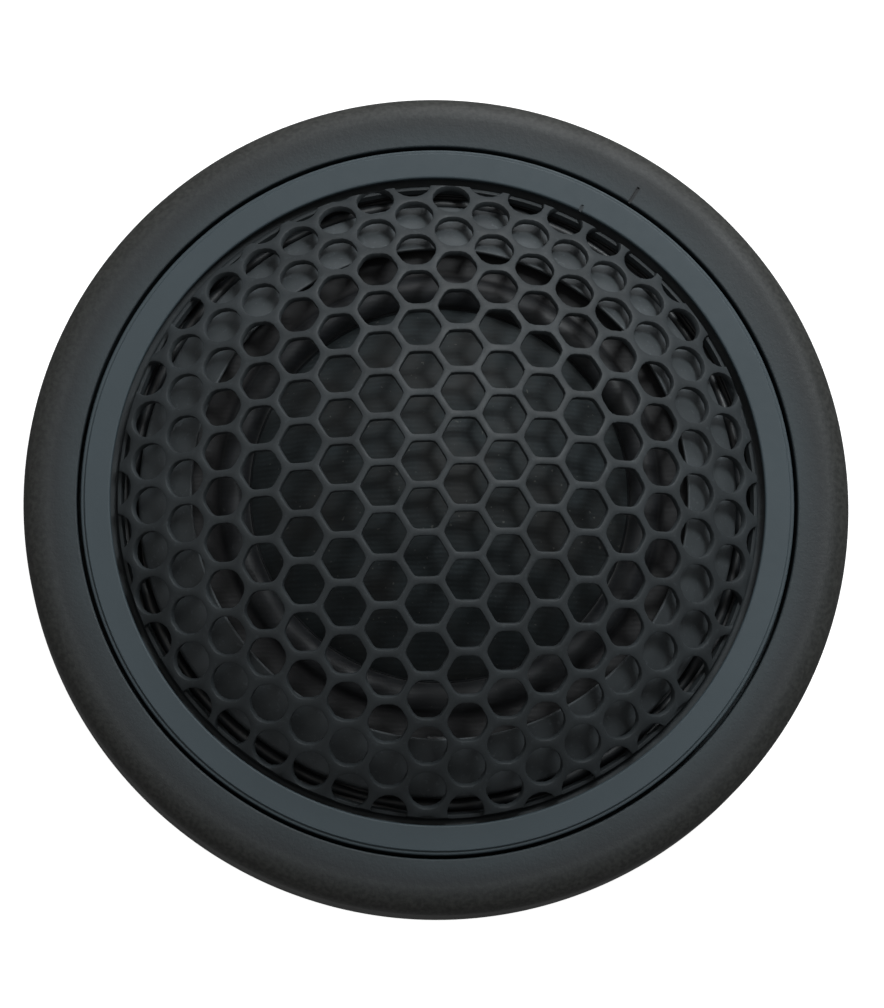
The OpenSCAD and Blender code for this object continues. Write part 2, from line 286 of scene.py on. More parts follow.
def ring(
    name: str, r0: float, r1: float, z0: float, z1: float, edge: float = 0.0,
    steps: int = RING_STEPS,
) -> bpy.types.Object:
    """Turn a ring, or a disc where the inner radius is 0, with its edges rounded by edge."""
    if r0 > 0:
        corners = [Corner(c.r, c.z, edge) for c in box(r0, r1, z0, z1)]
        return turned(name, rounded(corners, True), steps=steps)
    corners = [Corner(0, z0), Corner(r1, z0, edge), Corner(r1, z1, edge), Corner(0, z1)]
    return turned(name, rounded(corners, False), closed=False, steps=steps)


def swing(piece: bpy.types.Object, angle: float) -> bpy.types.Object:
    """Turn a piece about the axis by an angle in degrees."""
    piece.rotation_euler.z = math.radians(angle)
    return settle(piece)


def shift(piece: bpy.types.Object, x: float, y: float, z: float = 0.0) -> bpy.types.Object:
    """Move a piece by millimetres."""
    piece.location = (x * MM, y * MM, z * MM)
    return settle(piece)


def at(radius: float, angle: float) -> Point:
    """Place at a radius and an angle in degrees round the axis."""
    a = math.radians(angle)
    return radius * math.cos(a), radius * math.sin(a)


def block(
    name: str, low: tuple[float, float, float], high: tuple[float, float, float],
    edge: float = 0.0,
) -> bpy.types.Object:
    """Make a block between two corners, with its edges beveled by edge."""
    deselect_all()
    centre = [(a + b) / 2 * MM for a, b in zip(low, high)]
    bpy.ops.mesh.primitive_cube_add(size=1, location=centre)
    piece = name_piece(bpy.context.active_object, name)
    piece.scale = [(b - a) * MM for a, b in zip(low, high)]
    settle(piece)
    if edge > 0:
        with editing(piece, "EDGE"):
            bpy.ops.mesh.select_all(action="SELECT")
            bpy.ops.mesh.bevel(offset=edge * MM, segments=2, affect="EDGES")
    return piece


def apply_modifiers(piece: bpy.types.Object) -> None:
    """Apply every modifier of a piece in order."""
    make_active(piece)
    for modifier in list(piece.modifiers):
        bpy.ops.object.modifier_apply(modifier=modifier.name)


def work(piece: bpy.types.Object, fit: Fit, *tools: bpy.types.Object) -> bpy.types.Object:
    """Cut, add or intersect tool solids with a piece, and clear the tools away.

    Args:
        piece: The piece that is worked on.
        fit: What each tool does.
        tools: Closed solids.

    Returns:
        The piece.
    """
    for tool in tools:
        step = piece.modifiers.new("work", "BOOLEAN")
        step.operation = fit.value
        step.solver = "EXACT"
        step.object = tool
        apply_modifiers(piece)
        bpy.data.objects.remove(tool)
    with editing(piece):
        bpy.ops.mesh.select_all(action="SELECT")
        bpy.ops.mesh.remove_doubles(threshold=WELD)
        bpy.ops.mesh.dissolve_degenerate(threshold=WELD)
    return piece


def soften(piece: bpy.types.Object, width: float, segments: int = 2, angle: float = 35) -> None:
    """Round the sharp edges of a piece by a width in millimetres."""
    step = piece.modifiers.new("soften", "BEVEL")
    step.width = width * MM
    step.segments = segments
    step.limit_method = "ANGLE"
    step.angle_limit = math.radians(angle)
    step.use_clamp_overlap = True
    apply_modifiers(piece)


def copy_of_node(node: str, name: str, width: float) -> bpy.types.Object:
    """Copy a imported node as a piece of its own, with welded vertices and softened edges.

    Args:
        node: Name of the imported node.
        name: Name of the new piece.
        width: Width of the softened edges in millimetres.

    Returns:
        The new piece.
    """
    piece = bpy.data.objects.new(name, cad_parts[node].data.copy())
    bpy.context.scene.collection.objects.link(piece)
    name_piece(piece, name)
    with editing(piece):
        bpy.ops.mesh.select_all(action="SELECT")
        bpy.ops.mesh.remove_doubles(threshold=WELD)
        bpy.ops.mesh.dissolve_limited(angle_limit=math.radians(2))
    soften(piece, width)
    return piece


def merge(name: str, pieces: Sequence[bpy.types.Object]) -> bpy.types.Object:
    """Join pieces into one under a new name."""
    deselect_all()
    for piece in pieces:
        piece.select_set(True)
    bpy.context.view_layer.objects.active = pieces[0]
    bpy.ops.object.join()
    return name_piece(pieces[0], name)


def hand_over(
    piece: bpy.types.Object, finish: "Finish", body: Body, *nodes: str,
) -> bpy.types.Object:
    """Smooth and dress a finished piece, and give it to its body.

    Args:
        piece: The piece, in place.
        finish: Its finish.
        body: The body that it rides on.
        nodes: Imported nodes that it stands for.

    Returns:
        The piece.
    """
    make_active(piece)
    bpy.ops.object.shade_smooth_by_angle(angle=SMOOTH_ANGLE)
    piece.data.materials.clear()
    piece.data.materials.append(finish.material())
    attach(piece, body.value)
    if nodes:
        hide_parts(*nodes)
    log.info("%s: %d faces, %s", piece.name, len(piece.data.polygons), finish.name)
    return piece


# ---- Finishes ----


class Bench:
    """Lays out the nodes of one finish round its shader."""

    def __init__(self, name: str) -> None:
        """Start a material with the plain shader."""
        self.material = bpy.data.materials.new(name)
        self.material.use_nodes = True
        self.tree = self.material.node_tree
        self.shader = next(n for n in self.tree.nodes if n.type == "BSDF_PRINCIPLED")
        self.place = self.tree.nodes.new("ShaderNodeTexCoord").outputs["Object"]
        self.relief: bpy.types.NodeSocket | None = None

    def node(self, kind: str, inputs: dict | None = None, **settings: object) -> bpy.types.Node:
        """Add a node.

        Args:
            kind: Blender's name of the node.
            inputs: Values or sockets by input name or number.
            settings: Properties of the node.

        Returns:
            The node.
        """
        made = self.tree.nodes.new(kind)
        for key, value in settings.items():
            setattr(made, key, value)
        for key, value in (inputs or {}).items():
            if isinstance(value, bpy.types.NodeSocket):
                self.tree.links.new(value, made.inputs[key])
            else:
                made.inputs[key].default_value = value
        return made

    def grain(
        self, size: float, detail: float = 2.0, seed: Colour = (0, 0, 0),
        stretch: Colour = (1, 1, 1),
    ) -> bpy.types.NodeSocket:
        """Soft noise whose features are about size millimetres across."""
        mapping = self.node(
            "ShaderNodeMapping",
            {"Vector": self.place, "Location": seed, "Scale": stretch},
        )
        noise = self.node(
            "ShaderNodeTexNoise",
            {"Vector": mapping.outputs[0], "Scale": 1 / (size * MM), "Detail": detail},
        )
        return noise.outputs["Fac"]

    def span(
        self, value: bpy.types.NodeSocket, low: float, high: float, start: float, end: float,
    ) -> bpy.types.NodeSocket:
        """Map a value from low..high to start..end."""
        return self.node(
            "ShaderNodeMapRange",
            {"Value": value, "From Min": low, "From Max": high, "To Min": start, "To Max": end},
        ).outputs["Result"]

    def sum(
        self, kind: str, a: bpy.types.NodeSocket | float, b: bpy.types.NodeSocket | float,
    ) -> bpy.types.NodeSocket:
        """Combine two values with one arithmetic operation."""
        return self.node("ShaderNodeMath", {0: a, 1: b}, operation=kind).outputs[0]

    def shades(
        self, value: bpy.types.NodeSocket, dark: Colour, light: Colour,
        start: float = 0.35, end: float = 0.65,
    ) -> bpy.types.NodeSocket:
        """Colours that run from dark to light as a value runs from start to end."""
        ramp = self.node("ShaderNodeValToRGB", {"Fac": value})
        first, last = ramp.color_ramp.elements
        first.position, last.position = start, end
        first.color, last.color = (*dark, 1), (*light, 1)
        return ramp.outputs["Color"]

    def blend(
        self, share: bpy.types.NodeSocket, a: bpy.types.NodeSocket,
        b: bpy.types.NodeSocket | Colour,
    ) -> bpy.types.NodeSocket:
        """Mix two colours by a share."""
        mix = self.node("ShaderNodeMix", data_type="RGBA")
        self.tree.links.new(share, mix.inputs[0])
        self.tree.links.new(a, mix.inputs[6])
        if isinstance(b, bpy.types.NodeSocket):
            self.tree.links.new(b, mix.inputs[7])
        else:
            mix.inputs[7].default_value = (*b, 1)
        return mix.outputs[2]

    def raise_by(self, height: bpy.types.NodeSocket, depth: float) -> None:
        """Lift the surface by depth millimetres where height is 1, on top of earlier relief."""
        bump = self.node(
            "ShaderNodeBump", {"Height": height, "Strength": 1.0, "Distance": depth * MM},
        )
        if self.relief is not None:
            self.tree.links.new(self.relief, bump.inputs["Normal"])
        self.relief = bump.outputs["Normal"]

    def axis_distance(self) -> bpy.types.NodeSocket:
        """Distance from the axis, in millimetres."""
        flat = self.node(
            "ShaderNodeVectorMath", {0: self.place, 1: (1, 1, 0)}, operation="MULTIPLY",
        )
        far = self.node("ShaderNodeVectorMath", {0: flat.outputs[0]}, operation="LENGTH")
        return self.sum("MULTIPLY", far.outputs["Value"], 1 / MM)

    def score_line(
        self, angle: float, start: float, end: float, width: float,
    ) -> bpy.types.NodeSocket:
        """Share, 0 to 1, of a short line that points away from the axis.

        Args:
            angle: Direction of the line in degrees.
            start: Distance from the axis where it starts, in millimetres.
            end: Distance where it ends.
            width: Its width.

        Returns:
            The share.
        """
        a = math.radians(angle)
        along = self.node(
            "ShaderNodeVectorMath", {0: self.place, 1: (math.cos(a) / MM, math.sin(a) / MM, 0)},
            operation="DOT_PRODUCT",
        ).outputs["Value"]
        beside = self.node(
            "ShaderNodeVectorMath", {0: self.place, 1: (-math.sin(a) / MM, math.cos(a) / MM, 0)},
            operation="DOT_PRODUCT",
        ).outputs["Value"]
        off = self.sum("ABSOLUTE", beside, 0.0)
        line = self.span(off, width / 2 - 0.03, width / 2 + 0.03, 1, 0)
        inside = self.sum(
            "MULTIPLY", self.span(along, start, start + 0.06, 0, 1),
            self.span(along, end - 0.1, end, 1, 0),
        )
        return self.sum("MULTIPLY", line, inside)

    def finish(
        self, colour: bpy.types.NodeSocket, roughness: bpy.types.NodeSocket | float,
        metallic: float = 0.0, specular: float = 0.5, **extra: float | Colour,
    ) -> bpy.types.Material:
        """Connect the colour, roughness and relief, and set the shader's own values.

        Args:
            colour: Colour of the surface.
            roughness: Roughness, as a socket or a value.
            metallic: 1 for bare metal.
            specular: Specular level.
            extra: Other shader inputs by name, with _ for a space.

        Returns:
            The material.
        """
        self.tree.links.new(colour, self.shader.inputs["Base Color"])
        if isinstance(roughness, bpy.types.NodeSocket):
            self.tree.links.new(roughness, self.shader.inputs["Roughness"])
        else:
            self.shader.inputs["Roughness"].default_value = roughness
        self.shader.inputs["Metallic"].default_value = metallic
        self.shader.inputs["Specular IOR Level"].default_value = specular
        for key, value in extra.items():
            socket = self.shader.inputs[key.replace("_", " ")]
            socket.default_value = (*value, 1) if isinstance(value, tuple) else value
        if self.relief is not None:
            self.tree.links.new(self.relief, self.shader.inputs["Normal"])
        return self.material


@dataclass(frozen=True)
class Finish:
    """A finish that pieces share: its name and the record's material slot."""

    name: str
    slot: str

    def material(self) -> bpy.types.Material:
        """The finish's material, laid out once."""
        return bpy.data.materials.get(self.name) or self.lay_out(Bench(self.name))

    def lay_out(self, bench: Bench) -> bpy.types.Material:
        """Lay out the nodes; each kind of finish does this its own way."""
        raise NotImplementedError


def scaled(colour: Colour, by: float) -> Colour:
    """A colour made lighter or darker."""
    return tuple(c * by for c in colour)


@dataclass(frozen=True)
class MouldedPlastic(Finish):
    """Spark-textured plastic: fine leathery grain and cloudy flow marks."""

    colour: Colour = (0.03, 0.032, 0.034)
    variation: float = 0.12
    roughness: float = 0.55
    grain_size: float = 0.16
    grain_depth: float = 0.006
    specular: float = 0.5

    def lay_out(self, bench: Bench) -> bpy.types.Material:
        """Cloudy colour, two sizes of grain and a roughness that follows the clouds."""
        clouds = bench.grain(7, 3)
        specks = bench.grain(0.22, 2, (3, 1, 2))
        mixed = bench.sum(
            "ADD", bench.sum("MULTIPLY", clouds, 0.65), bench.sum("MULTIPLY", specks, 0.35)
        )
        colour = bench.shades(
            mixed, scaled(self.colour, 1 - self.variation), scaled(self.colour, 1 + self.variation)
        )
        bench.raise_by(bench.grain(self.grain_size * 3.5, 2, (1, 5, 2)), self.grain_depth * 1.2)
        bench.raise_by(bench.grain(self.grain_size, 2), self.grain_depth)
        rough = bench.span(mixed, 0.3, 0.7, self.roughness - 0.06, self.roughness + 0.06)
        return bench.finish(colour, rough, specular=self.specular)


@dataclass(frozen=True)
class CupPlastic(MouldedPlastic):
    """The cup's plastic: cooler beside the groove, darker over the rounded shoulder as painted shade,
    and lighter, browner and speckled round the outer edge, partly as painted rim light.
    """

    shoulder_shade_colour: Colour = (0.0185, 0.022, 0.0245)
    edge_tone_and_rim_light: Colour = (0.036, 0.0365, 0.034)
    tick_angle: float = 57.7

    def lay_out(self, bench: Bench) -> bpy.types.Material:
        """The moulded finish with its colour shaded outwards and painted shade in the index tick."""
        material = super().lay_out(bench)
        plain = self_link(bench, "Base Color")
        away = bench.axis_distance()
        # Painted shade: the colour darkens outwards over the flange's rounded shoulder, which turns away
        # from the light.
        shaded = bench.blend(bench.span(away, 24.7, 25.9, 0.0, 1.0), plain, self.shoulder_shade_colour)
        # Round the outer edge and down the barrel the colour turns lighter again: partly painted rim
        # light, partly a browner speckled tone.
        specks = bench.shades(
            bench.grain(0.3, 2, (4, 2, 6)), scaled(self.edge_tone_and_rim_light, 0.72),
            scaled(self.edge_tone_and_rim_light, 1.3),
        )
        height = bench.node("ShaderNodeSeparateXYZ", {0: bench.place}).outputs["Z"]
        low = bench.span(height, 0.0, 1.5 * MM, 1.0, 0.0)
        outside = bench.sum("MAXIMUM", bench.span(away, 25.8, 27.5, 0.0, 1.0), low)
        shaded = bench.blend(outside, shaded, specks)
        # Painted shade: a dark line painted where the index tick is cut into the flange.
        tick = bench.sum("MULTIPLY", bench.score_line(self.tick_angle, 24.2, 25.65, 0.26), 0.75)
        bench.tree.links.new(
            bench.blend(tick, shaded, (0.006, 0.006, 0.007)), bench.shader.inputs["Base Color"]
        )
        return material


def self_link(bench: Bench, name: str) -> bpy.types.NodeSocket:
    """The socket that feeds one of the shader's inputs."""
    return bench.shader.inputs[name].links[0].from_socket


@dataclass(frozen=True)
class SatinTrim(Finish):
    """Satin lacquer over metal-grey plastic, with fine haze and painted shade in its cut tick."""

    colour: Colour = (0.041, 0.057, 0.066)
    roughness: float = 0.52
    tick_angle: float = 64.2

    def lay_out(self, bench: Bench) -> bpy.types.Material:
        """Faint clouds, painted shade in the cut tick, fine orange peel and a haze in the roughness."""
        clouds = bench.grain(5, 3)
        colour = bench.shades(clouds, scaled(self.colour, 0.97), scaled(self.colour, 1.03))
        # Painted shade: a dark line painted where the bezel's tick is cut.
        tick = bench.sum("MULTIPLY", bench.score_line(self.tick_angle, 22.0, 22.6, 0.3), 0.6)
        colour = bench.blend(tick, colour, (0.012, 0.014, 0.016))
        bench.raise_by(bench.grain(0.5, 2), 0.004)
        bench.raise_by(bench.grain(0.13, 2, (2, 4, 1)), 0.0022)
        haze = bench.span(
            bench.grain(0.9, 3, (1, 2, 3)), 0.35, 0.65, self.roughness - 0.02, self.roughness + 0.03
        )
        return bench.finish(colour, haze, specular=0.35)


@dataclass(frozen=True)
class MattPaint(Finish):
    """Matt paint on pressed sheet, a little uneven and dusty."""

    colour: Colour = (0.0275, 0.0325, 0.0355)
    roughness: float = 0.62
    peel: float = 0.005

    def lay_out(self, bench: Bench) -> bpy.types.Material:
        """Clouds with fine pale dust, over a fine peel."""
        clouds = bench.shades(
            bench.grain(3.5, 3), scaled(self.colour, 0.86), scaled(self.colour, 1.14)
        )
        dust = bench.span(bench.grain(0.3, 3, (7, 1, 4)), 0.6, 0.8, 0.0, 0.4)
        colour = bench.blend(dust, clouds, scaled(self.colour, 2.6))
        bench.raise_by(bench.grain(0.55, 2), self.peel)
        bench.raise_by(bench.grain(0.14, 2, (2, 4, 1)), self.peel * 0.8)
        rough = bench.span(
            bench.grain(1.2, 3), 0.35, 0.65, self.roughness - 0.07, self.roughness + 0.07
        )
        return bench.finish(colour, rough, specular=0.35)


@dataclass(frozen=True)
class WovenCloth(Finish):
    """Coated cloth: a plain weave with heavier threads across, and a thin uneven coating."""

    warp: Colour = (0.009, 0.013, 0.0145)
    weft: Colour = (0.019, 0.026, 0.029)
    worn: Colour = (0.019, 0.018, 0.017)
    pitch: float = 0.34
    roughness: float = 0.72
    relief: float = 0.011
    coat: float = 0.02
    dust: float = 0.5

    def threads(self, bench: Bench, axis: str) -> bpy.types.NodeSocket:
        """Rounded ridges of the threads that follow each other along one axis, 0 to 1."""
        part = bench.node("ShaderNodeSeparateXYZ", {0: bench.place}).outputs[axis]
        wander = bench.sum(
            "ADD", bench.span(bench.grain(4.5, 2, (2, 2, 5)), 0, 1, -0.7, 0.7),
            bench.span(bench.grain(1.1, 2, (6, 1, 5)), 0, 1, -0.35, 0.35),
        )
        turn = bench.sum("ADD", bench.sum("MULTIPLY", part, 1 / (self.pitch * MM)), wander)
        wave = bench.sum("SINE", bench.sum("MULTIPLY", turn, math.tau), 0.0)
        full = bench.span(bench.grain(0.8, 2, (1, 8, 3)), 0.35, 0.65, 0.25, 1)
        return bench.sum("MULTIPLY", bench.span(wave, -1, 1, 0, 1), full)

    def weave(self, bench: Bench) -> bpy.types.NodeSocket:
        """Colour of the weave under a blotchy coating, with its relief."""
        across, along = self.threads(bench, "Y"), self.threads(bench, "X")
        crossing = bench.sum("MULTIPLY", across, bench.span(along, 0, 1, 0.6, 1))
        blotch = bench.grain(1.3, 4, (1, 1, 1))
        worked = bench.sum(
            "ADD", bench.sum("MULTIPLY", crossing, 0.3), bench.sum("MULTIPLY", blotch, 0.8)
        )
        colour = bench.shades(worked, self.warp, self.weft, 0.35, 0.72)
        rubbed = bench.span(bench.grain(5, 3, (8, 3, 1)), 0.45, 0.7, 0.0, 0.6)
        colour = bench.blend(rubbed, colour, self.worn)
        specks = bench.span(bench.grain(0.28, 1, (5, 9, 2)), 0.74, 0.78, 0.0, self.dust)
        bench.raise_by(bench.grain(3.5, 2, (3, 1, 1)), 0.05)
        bench.raise_by(crossing, self.relief)
        bench.raise_by(bench.grain(0.16, 2), 0.006)
        return bench.blend(specks, colour, (0.12, 0.12, 0.11))

    def lay_out(self, bench: Bench) -> bpy.types.Material:
        """The weave with a blotchy sheen."""
        colour = self.weave(bench)
        blotch = bench.grain(2.6, 3, (1, 1, 1))
        rough = bench.span(blotch, 0.35, 0.65, self.roughness - 0.1, self.roughness + 0.12)
        return bench.finish(
            colour, rough, specular=0.3, Sheen_Weight=0.15, Sheen_Roughness=0.4,
            Coat_Weight=self.coat, Coat_Roughness=0.4,
        )


@dataclass(frozen=True)
class RollCloth(WovenCloth):
    """The surround's cloth: painted nearly black on the land outside the roll, as shade under the front
    plate's inner edge.
    """

    painted_shade_colour: Colour = (0.003, 0.003, 0.004)
    shade_from_r: float = 14.5
    shade_to_r: float = 15.1

    def weave(self, bench: Bench) -> bpy.types.NodeSocket:
        """The weave, darkened outwards as painted shade."""
        # Painted shade: nearly black from the roll's outer foot outwards, where the land lies in shade
        # under the front plate.
        share = bench.span(bench.axis_distance(), self.shade_from_r, self.shade_to_r, 0.0, 1.0)
        return bench.blend(share, super().weave(bench), self.painted_shade_colour)


@dataclass(frozen=True)
class CellFoam(Finish):
    """Closed-cell foam: small round cells that break the skin."""

    colour: Colour = (0.016, 0.016, 0.017)
    cell: float = 0.22

    def lay_out(self, bench: Bench) -> bpy.types.Material:
        """Cells from rounded pits."""
        cells = bench.node(
            "ShaderNodeTexVoronoi", {"Vector": bench.place, "Scale": 1 / (self.cell * MM)},
            feature="SMOOTH_F1",
        ).outputs["Distance"]
        colour = bench.shades(cells, scaled(self.colour, 0.6), scaled(self.colour, 1.5), 0.1, 0.6)
        bench.raise_by(bench.grain(1.5, 2), 0.03)
        bench.raise_by(cells, 0.05)
        return bench.finish(colour, 0.85, specular=0.3)


@dataclass(frozen=True)
class WoolFelt(Finish):
    """Pressed felt: short fibres that lie every way, with a soft nap."""

    colour: Colour = (0.035, 0.035, 0.038)

    def lay_out(self, bench: Bench) -> bpy.types.Material:
        """Fibres from two stretched noises that cross."""
        one = bench.grain(0.5, 4, (0, 3, 0), (1, 5, 1))
        other = bench.grain(0.5, 4, (5, 0, 1), (5, 1, 1))
        fibres = bench.sum("MULTIPLY", bench.sum("ADD", one, other), 0.5)
        colour = bench.shades(fibres, scaled(self.colour, 0.5), scaled(self.colour, 1.7), 0.4, 0.6)
        bench.raise_by(bench.grain(1.2, 3), 0.05)
        bench.raise_by(fibres, 0.06)
        return bench.finish(colour, 0.92, specular=0.2, Sheen_Weight=0.4, Sheen_Roughness=0.5)


@dataclass(frozen=True)
class WorkedMetal(Finish):
    """Bare or plated metal with tool marks, a patchy tarnish and a fine grain."""

    colour: Colour = (0.6, 0.6, 0.6)
    tarnish: Colour = (0.4, 0.4, 0.4)
    roughness: float = 0.3
    lathe: bool = True

    def lay_out(self, bench: Bench) -> bpy.types.Material:
        """Marks round the axis where it was turned, else along one way."""
        if self.lathe:
            turns = bench.node(
                "ShaderNodeTexNoise",
                {"W": bench.axis_distance(), "Scale": 9.0, "Detail": 3.0}, noise_dimensions="1D",
            ).outputs["Fac"]
        else:
            turns = bench.grain(0.4, 3, (0, 0, 0), (1, 9, 9))
        patches = bench.grain(1.8, 4, (4, 4, 2))
        colour = bench.shades(patches, self.tarnish, self.colour, 0.3, 0.6)
        bench.raise_by(turns, 0.006)
        bench.raise_by(bench.grain(0.1, 2), 0.002)
        rough = bench.span(patches, 0.3, 0.7, self.roughness + 0.12, self.roughness - 0.04)
        return bench.finish(colour, rough, metallic=1.0)


@dataclass(frozen=True)
class PressedBoard(Finish):
    """Brown phenolic board: paper flecks under resin."""

    colour: Colour = (0.11, 0.05, 0.022)

    def lay_out(self, bench: Bench) -> bpy.types.Material:
        """Flecks that lie mostly one way."""
        flecks = bench.grain(0.6, 4, (1, 1, 0), (1, 3.5, 1))
        colour = bench.shades(flecks, scaled(self.colour, 0.65), scaled(self.colour, 1.35))
        bench.raise_by(flecks, 0.01)
        return bench.finish(colour, bench.span(flecks, 0.3, 0.7, 0.32, 0.5), specular=0.5)


@dataclass(frozen=True)
class WireCover(Finish):
    """Soft vinyl sleeve of a hook-up wire, slightly scuffed."""

    colour: Colour = (0.32, 0.03, 0.02)

    def lay_out(self, bench: Bench) -> bpy.types.Material:
        """Scuffs in the colour and the gloss."""
        scuffs = bench.grain(0.9, 4)
        colour = bench.shades(scuffs, scaled(self.colour, 0.75), scaled(self.colour, 1.2))
        bench.raise_by(bench.grain(0.3, 2), 0.004)
        return bench.finish(colour, bench.span(scuffs, 0.3, 0.7, 0.3, 0.5), specular=0.5)


@dataclass(frozen=True)
class FilmTube(Finish):
    """Amber film of the coil former, with faint wrap lines."""

    colour: Colour = (0.42, 0.17, 0.035)

    def lay_out(self, bench: Bench) -> bpy.types.Material:
        """Thin lines across the axis over a streaky colour."""
        streaks = bench.grain(1.0, 3, (0, 0, 0), (1, 1, 6))
        colour = bench.shades(streaks, scaled(self.colour, 0.8), scaled(self.colour, 1.15))
        bench.raise_by(streaks, 0.004)
        return bench.finish(colour, 0.28, specular=0.5)


CUP_PLASTIC = CupPlastic(
    "cup plastic", "cup_plastic", colour=(0.026, 0.0345, 0.039), variation=0.2, grain_depth=0.009,
    specular=0.35,
)
HOUSING_PLASTIC = MouldedPlastic(
    "housing plastic", "housing_plastic", colour=(0.02, 0.022, 0.024), roughness=0.38,
    grain_size=0.3, grain_depth=0.004,
)
GLOSS_SEALANT = MouldedPlastic(
    "gloss sealant", "housing_plastic", colour=(0.012, 0.014, 0.016), roughness=0.46,
    grain_size=0.9, grain_depth=0.02,
)
BEZEL_SATIN = SatinTrim("bezel satin", "bezel_satin")
GRILLE_PAINT = MattPaint("grille paint", "grille_paint")
# Painted light: the grille's paint made brighter on the plate, to make up for the shade the grille casts
# on it.
BRIGHTENED_PLATE_PAINT = MattPaint("plate paint brightened", "plate_paint", colour=(0.062, 0.07, 0.075), roughness=0.6)
CARRIER_PLASTIC = MouldedPlastic(
    "carrier plastic", "housing_plastic", colour=(0.007, 0.008, 0.009), roughness=0.4,
)
DOME_CLOTH = WovenCloth("dome cloth", "dome_cloth")
SURROUND_CLOTH = RollCloth(
    "surround cloth", "surround_cloth", warp=(0.006, 0.007, 0.009), weft=(0.014, 0.016, 0.018),
    worn=(0.012, 0.013, 0.014), coat=0.08, relief=0.008, roughness=0.62, dust=0.2,
)
JOINT_GLUE = MouldedPlastic(
    "joint glue", "dome_cloth", colour=(0.006, 0.007, 0.008), roughness=0.7, grain_size=0.5,
    grain_depth=0.015, specular=0.15,
)
SEAL_FOAM = CellFoam("seal foam", "foam")
DAMPING_FELT = WoolFelt("damping felt", "felt")
BRASS = WorkedMetal("turned brass", "brass", (0.72, 0.5, 0.2), (0.45, 0.28, 0.1), 0.28, False)
STEEL = WorkedMetal("passivated steel", "steel", (0.5, 0.5, 0.49), (0.36, 0.36, 0.35), 0.34)
NICKEL = WorkedMetal("nickel plate", "nickel", (0.66, 0.64, 0.6), (0.5, 0.48, 0.44), 0.2)
TINNED = WorkedMetal("tinned brass", "tinned", (0.7, 0.69, 0.65), (0.52, 0.5, 0.45), 0.33, False)
COPPER = WorkedMetal("enamelled copper", "copper", (0.65, 0.27, 0.12), (0.4, 0.14, 0.06), 0.26, False)
BOARD = PressedBoard("pressed board", "board")
WIRE_SLEEVE = WireCover("wire sleeve", "wire_sleeve")
FORMER_FILM = FilmTube("former film", "former")


# ---- Studio ----


@dataclass
class Studio:
    """Pale floor, soft lights and the camera."""

    target_height: float = 5.5
    lean_across: float = -2.71
    lean_up: float = -9.34
    distance: float = 350.0
    lens: float = 185.3
    shift_x: float = 0.0034
    shift_y: float = -0.0051
    floor_size: float = 3.0
    floor_colour: float = 0.5
    floor_glow: float = 0.95
    room_strength: float = 0.17

    def floor(self) -> None:
        """A plain pale floor under the cup."""
        deselect_all()
        height = cad_low.z - 0.02 * MM
        bpy.ops.mesh.primitive_plane_add(size=self.floor_size, location=(0, 0, height))
        floor = name_piece(bpy.context.active_object, "studio_floor")
        settle(floor)
        bench = Bench("floor card")
        dark, light = (self.floor_colour,) * 3, (self.floor_colour + 0.02,) * 3
        tone = bench.shades(bench.grain(300, 2), dark, light)
        bench.shader.inputs["Emission Strength"].default_value = self.floor_glow
        bench.shader.inputs["Emission Color"].default_value = (1, 1, 1, 1)
        floor.data.materials.append(bench.finish(tone, 0.9, specular=0.1))
        floor.visible_diffuse = False
        floor.visible_glossy = False

    def soft_light(
        self, name: str, place: tuple[float, float, float], size: float, power: float,
        colour: Colour,
    ) -> None:
        """A square soft light aimed at the object; the place and size are metres."""
        deselect_all()
        bpy.ops.object.light_add(type="AREA", location=place)
        light = bpy.context.active_object
        light.name = name
        light.data.size = size
        light.data.energy = power
        light.data.color = colour
        light.rotation_euler = (-Vector(place)).to_track_quat("-Z", "Y").to_euler()

    def lights(self) -> None:
        """A cool window-like key above the front, a low top light, a warm fill and an even room."""
        self.soft_light("key_light", (0.15, 0.24, 0.42), 0.14, 1.35, (0.93, 0.98, 1.0))
        self.soft_light("top_light", (0.1, 0.42, 0.22), 0.3, 1.2, (0.98, 0.99, 1.0))
        self.soft_light("fill_light", (-0.25, 0.05, 0.5), 0.5, 0.28, (1.0, 0.97, 0.93))
        world = bpy.data.worlds.new("room")
        bpy.context.scene.world = world
        world.use_nodes = True
        background = world.node_tree.nodes["Background"]
        background.inputs["Color"].default_value = (0.98, 0.99, 1.0, 1)
        background.inputs["Strength"].default_value = self.room_strength

    def camera(self) -> None:
        """The camera, almost square to the front and a little below the axis."""
        across, up = math.radians(self.lean_across), math.radians(self.lean_up)
        back = Vector((
            math.sin(across) * math.cos(up), math.sin(up), math.cos(across) * math.cos(up),
        ))
        right = Vector((back.z, 0, -back.x)).normalized()
        top = back.cross(right)
        target = Vector((0, 0, self.target_height * MM))
        data = bpy.data.cameras.new("camera")
        data.lens = self.lens
        data.shift_x, data.shift_y = self.shift_x, self.shift_y
        data.clip_start, data.clip_end = 0.01, 20
        camera = bpy.data.objects.new("camera", data)
        bpy.context.scene.collection.objects.link(camera)
        turn = Matrix((right, top, back)).transposed()
        camera.matrix_world = Matrix.Translation(target + back * self.distance * MM) @ turn.to_4x4()
        bpy.context.scene.camera = camera

    def build(self) -> None:
        """Set up the whole studio."""
        bpy.context.scene.view_settings.view_transform = "Standard"
        self.camera()
        self.floor()
        self.lights()


# ---- The panel cup ----


